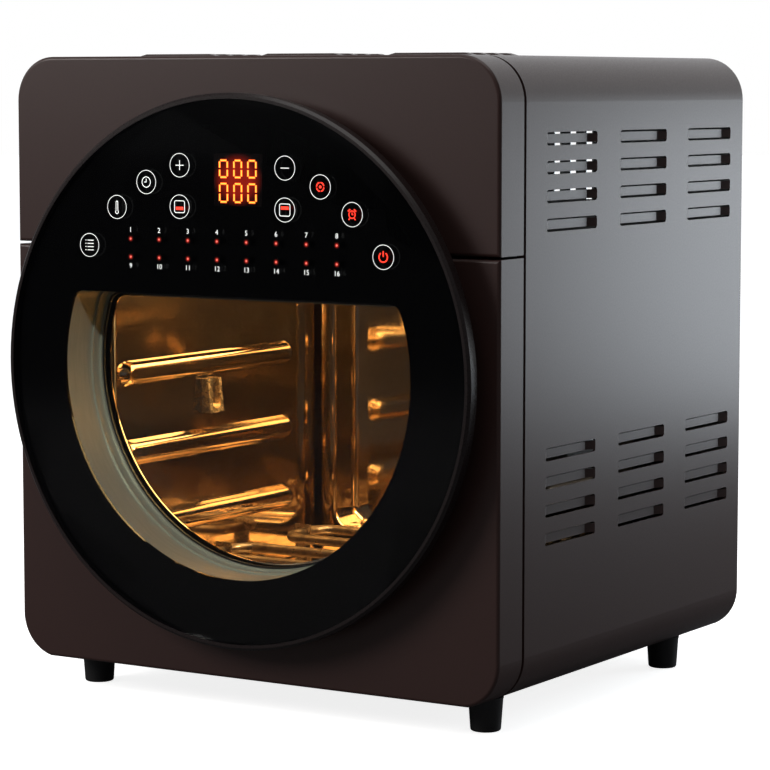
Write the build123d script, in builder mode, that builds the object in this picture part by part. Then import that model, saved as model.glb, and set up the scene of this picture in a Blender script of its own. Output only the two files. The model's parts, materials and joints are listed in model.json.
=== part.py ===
from build123d import *
import os

# Air fryer oven with a round touch-control disc on its door.
# Millimetres. X runs to the viewer's right, Y to the back and Z up.
# The origin is the centre of the footprint, on the surface that the feet stand on.

# Body
body_width = 340.0
body_height = 369.0
body_depth = 312.0
corner_radius = 26.4
edge_radius = 2.0
sheet = 1.2
panel_clearance = 0.1
fold_width = 6.0

# Feet
foot_height = 20.0
foot_top_radius = 10.5
foot_bottom_radius = 9.0
foot_side_inset = 30.0
foot_front_inset = 38.0
foot_rear_inset = 47.0

# Front frame, split into a fixed fascia above and the door below
frame_depth = 27.0
frame_wall = 2.0
seam_gap = 2.7
split_height = 256.0
split_gap = 1.6
door_lift = 0.6

# Disc on the door
disc_radius = 162.7
disc_height = 185.0
disc_proud = 20.0
rim_width = 3.4
rim_depth = 8.0
rim_chamfer = 1.6
neck_overhang = 7.2
neck_wall = 2.0
glass_thickness = 3.2
glass_clearance = 0.1
glass_sink = 0.4
carrier_thickness = 2.0
back_cover_gap = 1.2
back_cover_thickness = 1.5
board_thickness = 1.6
board_margin = 8.0

# Display in the touch disc
display_x = 5.0
display_height = 297.5
display_width = 34.0
display_tall = 30.5

# Window and the ring behind it
window_radius = 122.0
window_chord = 44.5
window_corner = 8.0
tunnel_wall = 1.2
tunnel_end = 17.0
tunnel_step = 2.5
ledge_length = 8.0
ledge_width = 1.2
gasket_thickness = 1.5
inner_plate_thickness = 1.0
seal_width = 5.0
seal_gap = 0.3

# Hinge on the left side
hinge_inset = 7.0
hinge_depth = 20.0
pin_radius = 2.5
pin_clearance = 0.05
tongue_thickness = 2.0
tongue_width = 8.0
bush_height = 12.0
bush_size = 9.6
lower_hinge_height = 34.0
upper_hinge_height = 226.0
hinge_clearance = 0.4
slit_margin = 0.8

# Cavity
bulkhead_thickness = 1.5
cavity_side_space = 49.0
cavity_height = 210.0
cavity_floor = 34.0
cavity_depth = 224.0
liner = 0.8
mouth_radius = 12.0
rail_heights = (77.0, 124.0, 174.0)
rail_length = 186.0
rail_front = 5.0
rail_tall = 11.0
rail_proud = 6.0
rail_taper = 25.0
recess_side = 16.5
recess_tall = 172.0
recess_depth = 24.5
recess_radius = 12.0
recess_lift = 19.0

# Heating and fan
fan_hole_radius = 88.0
dish_radius = 96.0
dish_height = 32.0
dish_flange = 6.0
guard_drop = 0.9
guard_slot_length = 16.0
guard_slot_width = 4.5
guard_ring_radii = (22.0, 46.0, 72.0)
guard_slot_counts = (8, 16, 26)
cutout_radius = 7.0
heater_radius = 3.2
tube_sides = 12
ring_heater_radius = 76.0
ring_heater_lift = 8.0
floor_heater_lift = 22.0
floor_heater_side = 25.0
floor_heater_rows = (55.0, 101.0, 147.0, 193.0)
floor_heater_bend = 15.0
clip_width = 12.0
fan_radius = 58.0
fan_lift = 16.0
blade_tall = 12.0
blade_count = 8
blade_slant = 25.0
shaft_radius = 4.0
shaft_clearance = 0.05
motor_size = 58.0
motor_tall = 28.0
motor_lift = 8.0
bracket_rim = 10.0
cooling_fan_radius = 50.0
cooling_fan_tall = 12.0
cooling_fan_gap = 6.0

# Rotisserie drive and its far support
spit_depth = 99.0
spit_height = 149.0
spit_radius = 6.0
spit_hole_radius = 7.5
spit_cup_radius = 9.0
spit_cup_length = 7.0
spit_socket_across = 8.0
spit_motor_radius = 24.0
spit_motor_length = 18.0
spit_motor_gap = 12.0
spit_post_pitch = 36.0
rest_width = 15.0
rest_tall = 22.0
rest_sill = 2.5
rest_slot_radius = 4.5
rest_reach = 7.0
rest_top_reach = 4.5

# Lamp
lamp_depth = 172.0
lamp_height = 210.0
lamp_radius = 16.0
lamp_box = 44.0
lamp_box_depth = 30.0
bulb_radius = 9.0

# Louvers pressed in the wrap
louver_length = 61.0
louver_tall = 7.6
louver_pitch = 16.4
louver_column_pitch = 90.0
louver_first_column = 53.6
louver_bridge = 5.2
louver_recess = 3.2
louver_ramp = 7.0
louver_radius = 2.2
louver_rows = 4
upper_group_height = 297.0
lower_group_height = 116.0
top_group_depth = 84.0
top_louver_rise = 1.8

# Catch and sensor on the right side
catch_inset = 20.0
catch_height = 128.0
catch_tall = 40.0
catch_width = 10.0
magnet_depth = 5.0
catch_gap = 0.4
sensor_size = 10.0
sensor_drop = 40.0

# Circuit, rear panel and its fittings
power_board_width = 130.0
power_board_tall = 58.0
power_board_height = 322.0
component_tall = 16.0
spacer_length = 6.0
spacer_radius = 3.0
rear_slot_width = 4.0
rear_slot_tall = 46.0
rear_slot_pitch = 12.0
rear_slot_count = 11
rear_slot_height = 300.0
gland_x = 120.0
gland_height = 52.0
gland_radius = 9.0
gland_bore_radius = 3.6
gland_proud = 4.0
screw_head_radius = 3.5
screw_head_tall = 1.8
screw_inset = 12.0

# Places worked out from the sizes above
half_width = body_width / 2
front_y = (disc_proud - body_depth - gland_proud) / 2
rear_y = front_y + body_depth
base_z = foot_height
top_z = base_z + body_height
shell_y = front_y + frame_depth + seam_gap
shell_depth = rear_y - shell_y
corner_low_z = base_z + corner_radius
corner_high_z = top_z - corner_radius
split_z = base_z + split_height
door_top_z = split_z - split_gap / 2
fascia_low_z = split_z + split_gap / 2
door_low_z = base_z + door_lift
disc_z = base_z + disc_height
disc_y = front_y - disc_proud
neck_radius = disc_radius - neck_overhang
rim_back_y = disc_y + rim_depth
bulkhead_y = shell_y + sheet
cavity_y = bulkhead_y + bulkhead_thickness
cavity_rear_y = cavity_y + cavity_depth
floor_z = base_z + cavity_floor
ceiling_z = floor_z + cavity_height
cavity_width = body_width - 2 * cavity_side_space
half_cavity = cavity_width / 2
recess_width = cavity_width - 2 * recess_side
floor_heater_reach = half_cavity - floor_heater_side
fan_y = (cavity_y + cavity_rear_y) / 2
hinge_x = -half_width + hinge_inset
hinge_y = front_y + hinge_depth
spit_y = cavity_y + spit_depth
spit_z = base_z + spit_height
tongue_heights = (base_z + lower_hinge_height, base_z + upper_hinge_height)
tongue_half = tongue_width / 2 + slit_margin
glass_y = disc_y + glass_sink
carrier_y = glass_y + glass_thickness
board_y = carrier_y + carrier_thickness
tunnel_end_y = front_y + tunnel_end
inner_glass_y = tunnel_end_y + gasket_thickness
inner_plate_y = inner_glass_y + glass_thickness
inner_back_y = inner_plate_y + inner_plate_thickness
dish_z = ceiling_z + liner
dish_top_z = dish_z + dish_height + liner
motor_z = dish_top_z + motor_lift
motor_top_z = motor_z + motor_tall
cooling_fan_z = motor_top_z + cooling_fan_gap
floor_heater_z = floor_z + floor_heater_lift
lamp_y = cavity_y + lamp_depth
lamp_z = base_z + lamp_height
liner_outer_x = half_cavity + liner
panel_inset = sheet + panel_clearance
BACK = (0, 1, 0)


def front_view(y):
    """Upright sketch plane at depth y that faces the front: local x is X and local y is Z."""
    return Plane(origin=(0, y, 0), x_dir=(1, 0, 0), z_dir=(0, -1, 0))


def side_view(x):
    """Upright sketch plane at x that faces right: local x is Y and local y is Z."""
    return Plane(origin=(x, 0, 0), x_dir=(0, 1, 0), z_dir=(1, 0, 0))


def outline(inset, mode=Mode.ADD):
    """The body's rounded front outline, drawn in by an inset."""
    with Locations((0, base_z + body_height / 2)):
        RectangleRounded(body_width - 2 * inset, body_height - 2 * inset, corner_radius - inset, mode=mode)


def keep_between(low, high):
    """Keep what a front view sketch has between two heights."""
    with Locations((0, (low + high) / 2)):
        Rectangle(body_width * 2, high - low, mode=Mode.INTERSECT)


def disc(radius, mode=Mode.ADD):
    """A circle about the disc's centre."""
    with Locations((0, disc_z)):
        Circle(radius, mode=mode)


def window_sketch(grow, y):
    """The window's outline at depth y: a circle with a flat top and rounded corners."""
    radius = window_radius + grow
    chord = window_chord + grow
    with BuildSketch(front_view(y)) as shape:
        disc(radius)
        with Locations((0, disc_z + chord - radius)):
            Rectangle(radius * 2, radius * 2, mode=Mode.INTERSECT)
        fillet(shape.vertices(), radius=window_corner)
    return shape.sketch


def mouth_sketch(grow, y):
    """The cavity's mouth, a rounded rectangle at depth y."""
    with BuildSketch(front_view(y)) as shape:
        with Locations((0, (floor_z + ceiling_z) / 2)):
            RectangleRounded(cavity_width + 2 * grow, cavity_height + 2 * grow, mouth_radius + max(grow, 0))
    return shape.sketch


def bridge_profile(depth, ramp):
    """Section along a louver's bridge: two ramps and a flat, one sheet thick, from (0, 0) down."""
    half = louver_length / 2
    grip = 0.5
    return [
        (-half - grip, 0),
        (-half, 0),
        (-half + ramp, -depth),
        (half - ramp, -depth),
        (half, 0),
        (half + grip, 0),
        (half + grip, -sheet),
        (half, -sheet),
        (half - ramp, -depth - sheet),
        (-half + ramp, -depth - sheet),
        (-half, -sheet),
        (-half - grip, -sheet),
    ]


louver_columns = [front_y + louver_first_column + louver_length / 2 + index * louver_column_pitch
                  for index in range(3)]
side_rows = [base_z + group + (row - (louver_rows - 1) / 2) * louver_pitch
             for group in (upper_group_height, lower_group_height) for row in range(louver_rows)]
top_rows = [front_y + top_group_depth + (row - (louver_rows - 1) / 2) * louver_pitch
            for row in range(louver_rows)]

# Side panels: a flat sheet with a folded front edge and two groups of bridge louvers
for side, sign in (("left", -1), ("right", 1)):
    outer_x = sign * half_width
    with BuildPart() as side_panel:
        with BuildSketch(side_view(outer_x)):
            with Locations((shell_y + shell_depth / 2, (corner_low_z + corner_high_z) / 2)):
                Rectangle(shell_depth, corner_high_z - corner_low_z)
        extrude(amount=-sign * sheet)
        with BuildSketch(front_view(shell_y)):
            with Locations((outer_x - sign * fold_width / 2, (corner_low_z + corner_high_z) / 2)):
                Rectangle(fold_width, corner_high_z - corner_low_z)
        extrude(amount=-sheet)
        with BuildSketch(side_view(outer_x)):
            with Locations([(y, z) for y in louver_columns for z in side_rows]):
                RectangleRounded(louver_length, louver_tall, louver_radius)
        extrude(amount=-sign * sheet, mode=Mode.SUBTRACT)
        with BuildSketch(*[Plane.XY.offset(z - louver_bridge / 2) for z in side_rows]):
            for y in louver_columns:
                bridge = [(outer_x + sign * drop, y + along)
                          for along, drop in bridge_profile(louver_recess, louver_ramp)]
                with BuildLine():
                    Polyline(*bridge, close=True)
                make_face()
        extrude(amount=louver_bridge)
        if side == "left":
            for tongue_z in tongue_heights:
                with Locations((outer_x + sheet, shell_y + sheet / 2, tongue_z + tongue_thickness / 2)):
                    Box(fold_width - sheet, sheet * 2, tongue_thickness + 2 * slit_margin,
                        align=(Align.MIN, Align.CENTER, Align.CENTER), mode=Mode.SUBTRACT)
    side_panel.part.label = f"side_panel_{side}"
    export_step(side_panel.part, f"parts/side_panel_{side}.step")

# Top cover: the flat top, its two rounded shoulders, a folded front edge and raised louvers
with BuildPart() as top_cover:
    with BuildSketch(front_view(shell_y)):
        outline(0)
        outline(sheet, mode=Mode.SUBTRACT)
        keep_between(corner_high_z, top_z)
    extrude(amount=-shell_depth)
    with BuildSketch(front_view(shell_y)):
        outline(0)
        outline(fold_width, mode=Mode.SUBTRACT)
        keep_between(corner_high_z, top_z)
    extrude(amount=-sheet)
    with BuildSketch(Plane.XY.offset(top_z)):
        with Locations([(column * louver_column_pitch, y) for column in (-1, 0, 1) for y in top_rows]):
            RectangleRounded(louver_length, louver_tall, louver_radius)
    extrude(amount=-sheet, mode=Mode.SUBTRACT)
    with BuildSketch(*[front_view(y + louver_bridge / 2) for y in top_rows]):
        for column in (-1, 0, 1):
            bridge = [(column * louver_column_pitch + along, top_z + drop)
                      for along, drop in bridge_profile(-top_louver_rise, louver_ramp)]
            with BuildLine():
                Polyline(*bridge, close=True)
            make_face()
    extrude(amount=louver_bridge)
top_cover.part.label = "top_cover"
export_step(top_cover.part, "parts/top_cover.step")

# Base pan: the underside with the two lower rounded corners and a folded front edge
with BuildPart() as base_pan:
    with BuildSketch(front_view(shell_y)):
        outline(0)
        outline(sheet, mode=Mode.SUBTRACT)
        keep_between(base_z, corner_low_z)
    extrude(amount=-shell_depth)
    with BuildSketch(front_view(shell_y)):
        outline(0)
        outline(fold_width, mode=Mode.SUBTRACT)
        keep_between(base_z, corner_low_z)
    extrude(amount=-sheet)
base_pan.part.label = "base_pan"
export_step(base_pan.part, "parts/base_pan.step")

# Rear panel: sits inside the wrap, with a row of vent slots and the cord entry's hole
with BuildPart() as rear_panel:
    with BuildSketch(front_view(rear_y - sheet)):
        outline(panel_inset)
        with Locations((0, base_z + rear_slot_height)):
            with GridLocations(rear_slot_pitch, 1, rear_slot_count, 1):
                Rectangle(rear_slot_width, rear_slot_tall, mode=Mode.SUBTRACT)
        with Locations((gland_x, base_z + gland_height)):
            Circle(gland_radius, mode=Mode.SUBTRACT)
    extrude(amount=-sheet)
rear_panel.part.label = "rear_panel"
export_step(rear_panel.part, "parts/rear_panel.step")

# Cord entry: a flanged grommet with its bore, held in the rear panel
with BuildPart() as cord_gland:
    with BuildSketch(front_view(rear_y)):
        with Locations((gland_x, base_z + gland_height)):
            Circle(gland_radius + 2)
    extrude(amount=-gland_proud)
    chamfer(cord_gland.edges().group_by(Axis.Y)[-1], length=1.5)
    with BuildSketch(front_view(rear_y)):
        with Locations((gland_x, base_z + gland_height)):
            Circle(gland_radius - panel_clearance)
    extrude(amount=2 * sheet)
    with BuildSketch(front_view(rear_y - 2 * sheet)):
        with Locations((gland_x, base_z + gland_height)):
            Circle(gland_bore_radius)
    extrude(amount=-(gland_proud + 2 * sheet), mode=Mode.SUBTRACT)
cord_gland.part.label = "cord_gland"
export_step(cord_gland.part, "parts/cord_gland.step")

# Screws round the rear panel's edge
screw_x = half_width - panel_inset - screw_inset
screw_low_z = corner_low_z + screw_inset
screw_high_z = corner_high_z - screw_inset
with BuildPart() as rear_screws:
    for z in (screw_low_z, (screw_low_z + screw_high_z) / 2, screw_high_z):
        with BuildSketch(front_view(rear_y)):
            with Locations((-screw_x, z), (screw_x, z)):
                Circle(screw_head_radius)
        extrude(amount=-screw_head_tall)
rear_screws.part.label = "rear_screws"
export_step(rear_screws.part, "parts/rear_screws.step")

# Tapered feet under the base pan
foot_xs = (-half_width + foot_side_inset, half_width - foot_side_inset)
foot_ys = (front_y + foot_front_inset, rear_y - foot_rear_inset)
for y, place in zip(foot_ys, ("front", "rear")):
    for x, side in zip(foot_xs, ("left", "right")):
        with BuildPart() as foot:
            with Locations((x, y, foot_height / 2)):
                Cone(foot_bottom_radius, foot_top_radius, foot_height)
            chamfer(foot.edges().group_by(Axis.Z)[0], length=1.0)
        foot.part.label = f"foot_{place}_{side}"
        export_step(foot.part, f"parts/foot_{place}_{side}.step")

# Bulkhead: the steel plate behind the front frame, round the cavity's mouth
with BuildPart() as bulkhead:
    with BuildSketch(front_view(bulkhead_y)):
        outline(panel_inset)
    extrude(amount=-bulkhead_thickness)
    extrude(mouth_sketch(0, bulkhead_y), amount=bulkhead_thickness, dir=BACK, mode=Mode.SUBTRACT)
    for tongue_z in tongue_heights:
        with Locations((hinge_x, bulkhead_y + bulkhead_thickness / 2, tongue_z + tongue_thickness / 2)):
            Box(tongue_width + 2 * panel_clearance, bulkhead_thickness * 2,
                tongue_thickness + 2 * panel_clearance, mode=Mode.SUBTRACT)
bulkhead.part.label = "bulkhead"
export_step(bulkhead.part, "parts/bulkhead.step")

# Fixed fascia: the top of the front frame, with bosses that reach the bulkhead
with BuildPart() as upper_fascia:
    with BuildSketch(front_view(front_y)):
        outline(0)
        keep_between(fascia_low_z, top_z)
    extrude(amount=-frame_depth)
    fillet(upper_fascia.edges().group_by(Axis.Y)[0], radius=edge_radius)
    with BuildSketch(front_view(front_y + frame_wall)):
        outline(frame_wall)
        keep_between(fascia_low_z + frame_wall, top_z)
    extrude(amount=-frame_depth, mode=Mode.SUBTRACT)
    with BuildSketch(front_view(front_y + frame_wall)):
        with Locations((0, (fascia_low_z + top_z) / 2)):
            with GridLocations(body_width - 2 * corner_radius,
                               body_height - split_height - 2 * corner_radius, 2, 2):
                Circle(spacer_radius + frame_wall)
    extrude(amount=-(bulkhead_y - front_y - frame_wall))
upper_fascia.part.label = "upper_fascia"
export_step(upper_fascia.part, "parts/upper_fascia.step")

# Hinge tongues: each passes through the bulkhead and carries an upright pin
with BuildPart() as hinge_tongues:
    for tongue_z in tongue_heights:
        with BuildSketch(Plane.XY.offset(tongue_z)):
            with Locations((hinge_x, hinge_y)):
                Circle(tongue_width / 2)
            with Locations((hinge_x, (hinge_y + cavity_y) / 2)):
                Rectangle(tongue_width, cavity_y - hinge_y)
        extrude(amount=tongue_thickness)
        with BuildSketch(front_view(cavity_y)):
            with Locations((hinge_x + tongue_width / 2, tongue_z + tongue_thickness / 2)):
                Rectangle(tongue_width * 2, tongue_width * 2)
        extrude(amount=-bulkhead_thickness)
        with BuildSketch(Plane.XY.offset(tongue_z)):
            with Locations((hinge_x, hinge_y)):
                Circle(pin_radius)
        extrude(amount=tongue_thickness + hinge_clearance + bush_height)
hinge_tongues.part.label = "hinge_tongues"
export_step(hinge_tongues.part, "parts/hinge_tongues.step")

# Door bushes that turn on the pins
for tongue_z, place in zip(tongue_heights, ("lower", "upper")):
    with BuildPart() as bush:
        with BuildSketch(Plane.XY.offset(tongue_z + tongue_thickness + hinge_clearance)):
            with Locations((hinge_x, hinge_y)):
                RectangleRounded(bush_size, bush_size, 1.0)
                Circle(pin_radius + pin_clearance, mode=Mode.SUBTRACT)
        extrude(amount=bush_height)
    bush.part.label = f"hinge_bush_{place}"
    export_step(bush.part, f"parts/hinge_bush_{place}.step")

# Door frame: the lower front frame, with the window's hole and slits for the hinge tongues
slit_front_y = hinge_y - tongue_half - hinge_inset * 0.25
with BuildPart() as door_frame:
    with BuildSketch(front_view(front_y)):
        outline(0)
        keep_between(door_low_z, door_top_z)
    extrude(amount=-frame_depth)
    fillet(door_frame.edges().group_by(Axis.Y)[0], radius=edge_radius)
    with BuildSketch(front_view(front_y + frame_wall)):
        outline(frame_wall)
        keep_between(door_low_z + frame_wall, door_top_z - frame_wall)
    extrude(amount=-frame_depth, mode=Mode.SUBTRACT)
    extrude(window_sketch(tunnel_wall + panel_clearance, front_y), amount=frame_wall, dir=BACK,
            mode=Mode.SUBTRACT)
    for tongue_z in tongue_heights:
        with BuildSketch(Plane.XY.offset(tongue_z - slit_margin)):
            with Locations((-half_width, slit_front_y)):
                Rectangle(hinge_inset, frame_depth, align=(Align.CENTER, Align.MIN))
        extrude(amount=tongue_thickness + 2 * slit_margin, mode=Mode.SUBTRACT)
door_frame.part.label = "door_frame"
export_step(door_frame.part, "parts/door_frame.step")

# Rim: the painted ring round the glass, with a bevelled nose and a back flange on the neck
rim_inner = disc_radius - rim_width
with BuildPart() as disc_rim:
    with BuildSketch(side_view(0)):
        with BuildLine():
            Polyline(
                (disc_y, disc_z + rim_inner),
                (disc_y, disc_z + disc_radius - rim_chamfer),
                (disc_y + rim_chamfer, disc_z + disc_radius),
                (rim_back_y, disc_z + disc_radius),
                (rim_back_y, disc_z + neck_radius + panel_clearance),
                (rim_back_y - sheet, disc_z + neck_radius + panel_clearance),
                (rim_back_y - sheet, disc_z + rim_inner),
                close=True,
            )
        make_face()
    revolve(axis=Axis((0, 0, disc_z), BACK))
disc_rim.part.label = "disc_rim"
export_step(disc_rim.part, "parts/disc_rim.step")

# Front glass: one round pane
with BuildPart() as front_glass:
    with BuildSketch(front_view(glass_y)):
        disc(rim_inner - glass_clearance)
    extrude(amount=-glass_thickness)
front_glass.part.label = "front_glass"
export_step(front_glass.part, "parts/front_glass.step")

# Carrier: the black dish behind the glass, cut back above the split to clear the fascia
with BuildPart() as disc_carrier:
    with BuildSketch(front_view(carrier_y)):
        disc(rim_inner - glass_clearance)
        with Locations((display_x, base_z + display_height)):
            Rectangle(display_width, display_tall, mode=Mode.SUBTRACT)
    extrude(amount=-carrier_thickness)
    with BuildSketch(front_view(board_y)):
        disc(neck_radius)
        disc(neck_radius - neck_wall, mode=Mode.SUBTRACT)
    extrude(amount=-(front_y - board_y))
    extrude(window_sketch(0, carrier_y), amount=carrier_thickness, dir=BACK, mode=Mode.SUBTRACT)
    with BuildSketch(front_view(front_y - back_cover_gap)):
        with Locations((0, door_top_z)):
            Rectangle(body_width, body_height, align=(Align.CENTER, Align.MIN))
    extrude(amount=-back_cover_gap, mode=Mode.SUBTRACT)
disc_carrier.part.label = "disc_carrier"
export_step(disc_carrier.part, "parts/disc_carrier.step")

# Touch board: a D-shaped circuit board against the carrier
board_low_z = disc_z + window_chord + board_margin
with BuildPart() as touch_board:
    with BuildSketch(front_view(board_y)):
        disc(neck_radius - neck_wall - board_margin)
        keep_between(board_low_z, disc_z + neck_radius)
    extrude(amount=-board_thickness)
touch_board.part.label = "touch_board"
export_step(touch_board.part, "parts/touch_board.step")

# Display: set in the carrier's opening, against the glass
with BuildPart() as display_module:
    with BuildSketch(front_view(carrier_y)):
        with Locations((display_x, base_z + display_height)):
            Rectangle(display_width - 2 * panel_clearance, display_tall - 2 * panel_clearance)
    extrude(amount=-carrier_thickness)
display_module.part.label = "display_module"
export_step(display_module.part, "parts/display_module.step")

# Back cover: closes the carrier behind the touch board
with BuildPart() as disc_back_cover:
    with BuildSketch(front_view(front_y - back_cover_gap - back_cover_thickness)):
        disc(neck_radius - neck_wall - panel_clearance)
        keep_between(board_low_z, disc_z + neck_radius)
    extrude(amount=-back_cover_thickness)
disc_back_cover.part.label = "disc_back_cover"
export_step(disc_back_cover.part, "parts/disc_back_cover.step")

# Porthole ring: the deep metal tunnel behind the window, with a ledge and a step at its end
with BuildPart() as porthole_ring:
    tunnel_length = tunnel_end_y - board_y
    extrude(window_sketch(tunnel_wall, board_y), amount=tunnel_length, dir=BACK)
    extrude(window_sketch(0, board_y), amount=tunnel_length - ledge_length, dir=BACK, mode=Mode.SUBTRACT)
    extrude(window_sketch(-ledge_width, board_y), amount=tunnel_length - tunnel_wall, dir=BACK,
            mode=Mode.SUBTRACT)
    extrude(window_sketch(-tunnel_step, board_y), amount=tunnel_length, dir=BACK, mode=Mode.SUBTRACT)
porthole_ring.part.label = "porthole_ring"
export_step(porthole_ring.part, "parts/porthole_ring.step")

# Gasket between the porthole ring and the inner glass
with BuildPart() as inner_gasket:
    extrude(window_sketch(tunnel_step, tunnel_end_y), amount=gasket_thickness, dir=BACK)
    extrude(window_sketch(-tunnel_step - sheet, tunnel_end_y), amount=gasket_thickness, dir=BACK,
            mode=Mode.SUBTRACT)
inner_gasket.part.label = "inner_gasket"
export_step(inner_gasket.part, "parts/inner_gasket.step")

# Inner glass
with BuildPart() as inner_glass:
    extrude(window_sketch(tunnel_step, inner_glass_y), amount=glass_thickness, dir=BACK)
inner_glass.part.label = "inner_glass"
export_step(inner_glass.part, "parts/inner_glass.step")

# Inner plate: closes the door's back and holds the inner glass
plate_inset = frame_wall + panel_clearance
with BuildPart() as door_inner_plate:
    with BuildSketch(front_view(inner_plate_y)):
        outline(plate_inset)
        keep_between(door_low_z + plate_inset, door_top_z - plate_inset)
        for tongue_z in tongue_heights:
            notch_low_z = tongue_z - slit_margin
            notch_tall = tongue_thickness + hinge_clearance + bush_height + 2 * slit_margin
            with Locations((-half_width, notch_low_z)):
                Rectangle(2 * (hinge_inset + bush_size / 2 + hinge_clearance), notch_tall,
                          align=(Align.CENTER, Align.MIN), mode=Mode.SUBTRACT)
    extrude(amount=-inner_plate_thickness)
    extrude(window_sketch(-2 * tunnel_step, inner_plate_y), amount=inner_plate_thickness, dir=BACK,
            mode=Mode.SUBTRACT)
door_inner_plate.part.label = "door_inner_plate"
export_step(door_inner_plate.part, "parts/door_inner_plate.step")

# Door seal: a soft ring round the cavity's mouth
with BuildPart() as door_seal:
    seal_depth = bulkhead_y - seal_gap - inner_back_y
    extrude(mouth_sketch(1 + seal_width, inner_back_y), amount=seal_depth, dir=BACK)
    extrude(mouth_sketch(1, inner_back_y), amount=seal_depth, dir=BACK, mode=Mode.SUBTRACT)
door_seal.part.label = "door_seal"
export_step(door_seal.part, "parts/door_seal.step")

# Catch: a magnet on the bulkhead and its steel plate on the door
catch_x = half_width - catch_inset
with BuildPart() as catch_magnet:
    with BuildSketch(front_view(bulkhead_y)):
        with Locations((catch_x, base_z + catch_height)):
            RectangleRounded(catch_width, catch_tall, 2.0)
    extrude(amount=magnet_depth)
catch_magnet.part.label = "catch_magnet"
export_step(catch_magnet.part, "parts/catch_magnet.step")

with BuildPart() as catch_plate:
    with BuildSketch(front_view(inner_back_y)):
        with Locations((catch_x, base_z + catch_height)):
            RectangleRounded(catch_width, catch_tall, 2.0)
    extrude(amount=-(bulkhead_y - magnet_depth - catch_gap - inner_back_y))
catch_plate.part.label = "catch_plate"
export_step(catch_plate.part, "parts/catch_plate.step")

# Door sensor behind the bulkhead
with BuildPart() as door_sensor:
    with BuildSketch(front_view(cavity_y)):
        with Locations((catch_x, base_z + catch_height - sensor_drop)):
            Rectangle(sensor_size, 2 * sensor_size)
    extrude(amount=-sensor_size)
door_sensor.part.label = "door_sensor"
export_step(door_sensor.part, "parts/door_sensor.step")

# Cavity side walls with pressed rails; the right one has the spit, lamp and heater holes
heater_ys = [cavity_y + row for row in floor_heater_rows]
for side, sign in (("left", -1), ("right", 1)):
    inner_x = sign * half_cavity
    facing_in = Plane(origin=(inner_x, 0, 0), x_dir=(0, -sign, 0), z_dir=(-sign, 0, 0))
    rail_places = [(-sign * (cavity_y + rail_front + rail_length / 2), base_z + height)
                   for height in rail_heights]
    with BuildPart() as liner_wall:
        with BuildSketch(side_view(inner_x)):
            with Locations(((cavity_y + cavity_rear_y) / 2, (floor_z + ceiling_z) / 2)):
                Rectangle(cavity_depth, cavity_height)
        extrude(amount=sign * liner)
        with BuildSketch(facing_in):
            with Locations(rail_places):
                SlotOverall(rail_length, rail_tall)
        extrude(amount=rail_proud, taper=rail_taper)
        with BuildSketch(facing_in.offset(-liner)):
            with Locations(rail_places):
                SlotOverall(rail_length - 2 * liner, rail_tall - 2 * liner)
        extrude(amount=rail_proud, taper=rail_taper, mode=Mode.SUBTRACT)
        if side == "right":
            with BuildSketch(side_view(inner_x)):
                with Locations((spit_y, spit_z)):
                    Circle(spit_hole_radius)
                with Locations((lamp_y, lamp_z)):
                    Circle(lamp_radius)
                with Locations((heater_ys[0], floor_heater_z), (heater_ys[-1], floor_heater_z)):
                    Circle(heater_radius + panel_clearance)
            extrude(amount=liner, mode=Mode.SUBTRACT)
    liner_wall.part.label = f"liner_{side}"
    export_step(liner_wall.part, f"parts/liner_{side}.step")

# Cavity floor and ceiling
with BuildPart() as liner_floor:
    with BuildSketch(Plane.XY.offset(floor_z)):
        with Locations((0, fan_y)):
            Rectangle(2 * liner_outer_x, cavity_depth)
    extrude(amount=-liner)
liner_floor.part.label = "liner_floor"
export_step(liner_floor.part, "parts/liner_floor.step")

with BuildPart() as liner_ceiling:
    with BuildSketch(Plane.XY.offset(ceiling_z)):
        with Locations((0, fan_y)):
            Rectangle(2 * liner_outer_x, cavity_depth)
            Circle(fan_hole_radius, mode=Mode.SUBTRACT)
    extrude(amount=liner)
liner_ceiling.part.label = "liner_ceiling"
export_step(liner_ceiling.part, "parts/liner_ceiling.step")

# Cavity rear wall, with a deep rounded recess
recess_z = floor_z + recess_lift + recess_tall / 2
with BuildPart() as liner_rear:
    with BuildSketch(front_view(cavity_rear_y)):
        with Locations((0, (floor_z + ceiling_z) / 2)):
            Rectangle(2 * liner_outer_x, cavity_height + 2 * liner)
    extrude(amount=-liner)
    with BuildSketch(front_view(cavity_rear_y)):
        with Locations((0, recess_z)):
            RectangleRounded(recess_width + 2 * liner, recess_tall + 2 * liner, recess_radius + liner)
    extrude(amount=-(recess_depth + liner))
    with BuildSketch(front_view(cavity_rear_y)):
        with Locations((0, recess_z)):
            RectangleRounded(recess_width, recess_tall, recess_radius)
    extrude(amount=-recess_depth, mode=Mode.SUBTRACT)
liner_rear.part.label = "liner_rear"
export_step(liner_rear.part, "parts/liner_rear.step")

# Fan guard under the ceiling, with rings of slots
with BuildPart() as fan_guard:
    with BuildSketch(Plane.XY.offset(ceiling_z - guard_drop)):
        with Locations((0, fan_y)):
            Circle(fan_hole_radius + 2 * sheet)
            for radius, count in zip(guard_ring_radii, guard_slot_counts):
                with PolarLocations(radius, count):
                    Rectangle(guard_slot_length, guard_slot_width, mode=Mode.SUBTRACT)
    extrude(amount=liner)
fan_guard.part.label = "fan_guard"
export_step(fan_guard.part, "parts/fan_guard.step")

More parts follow.
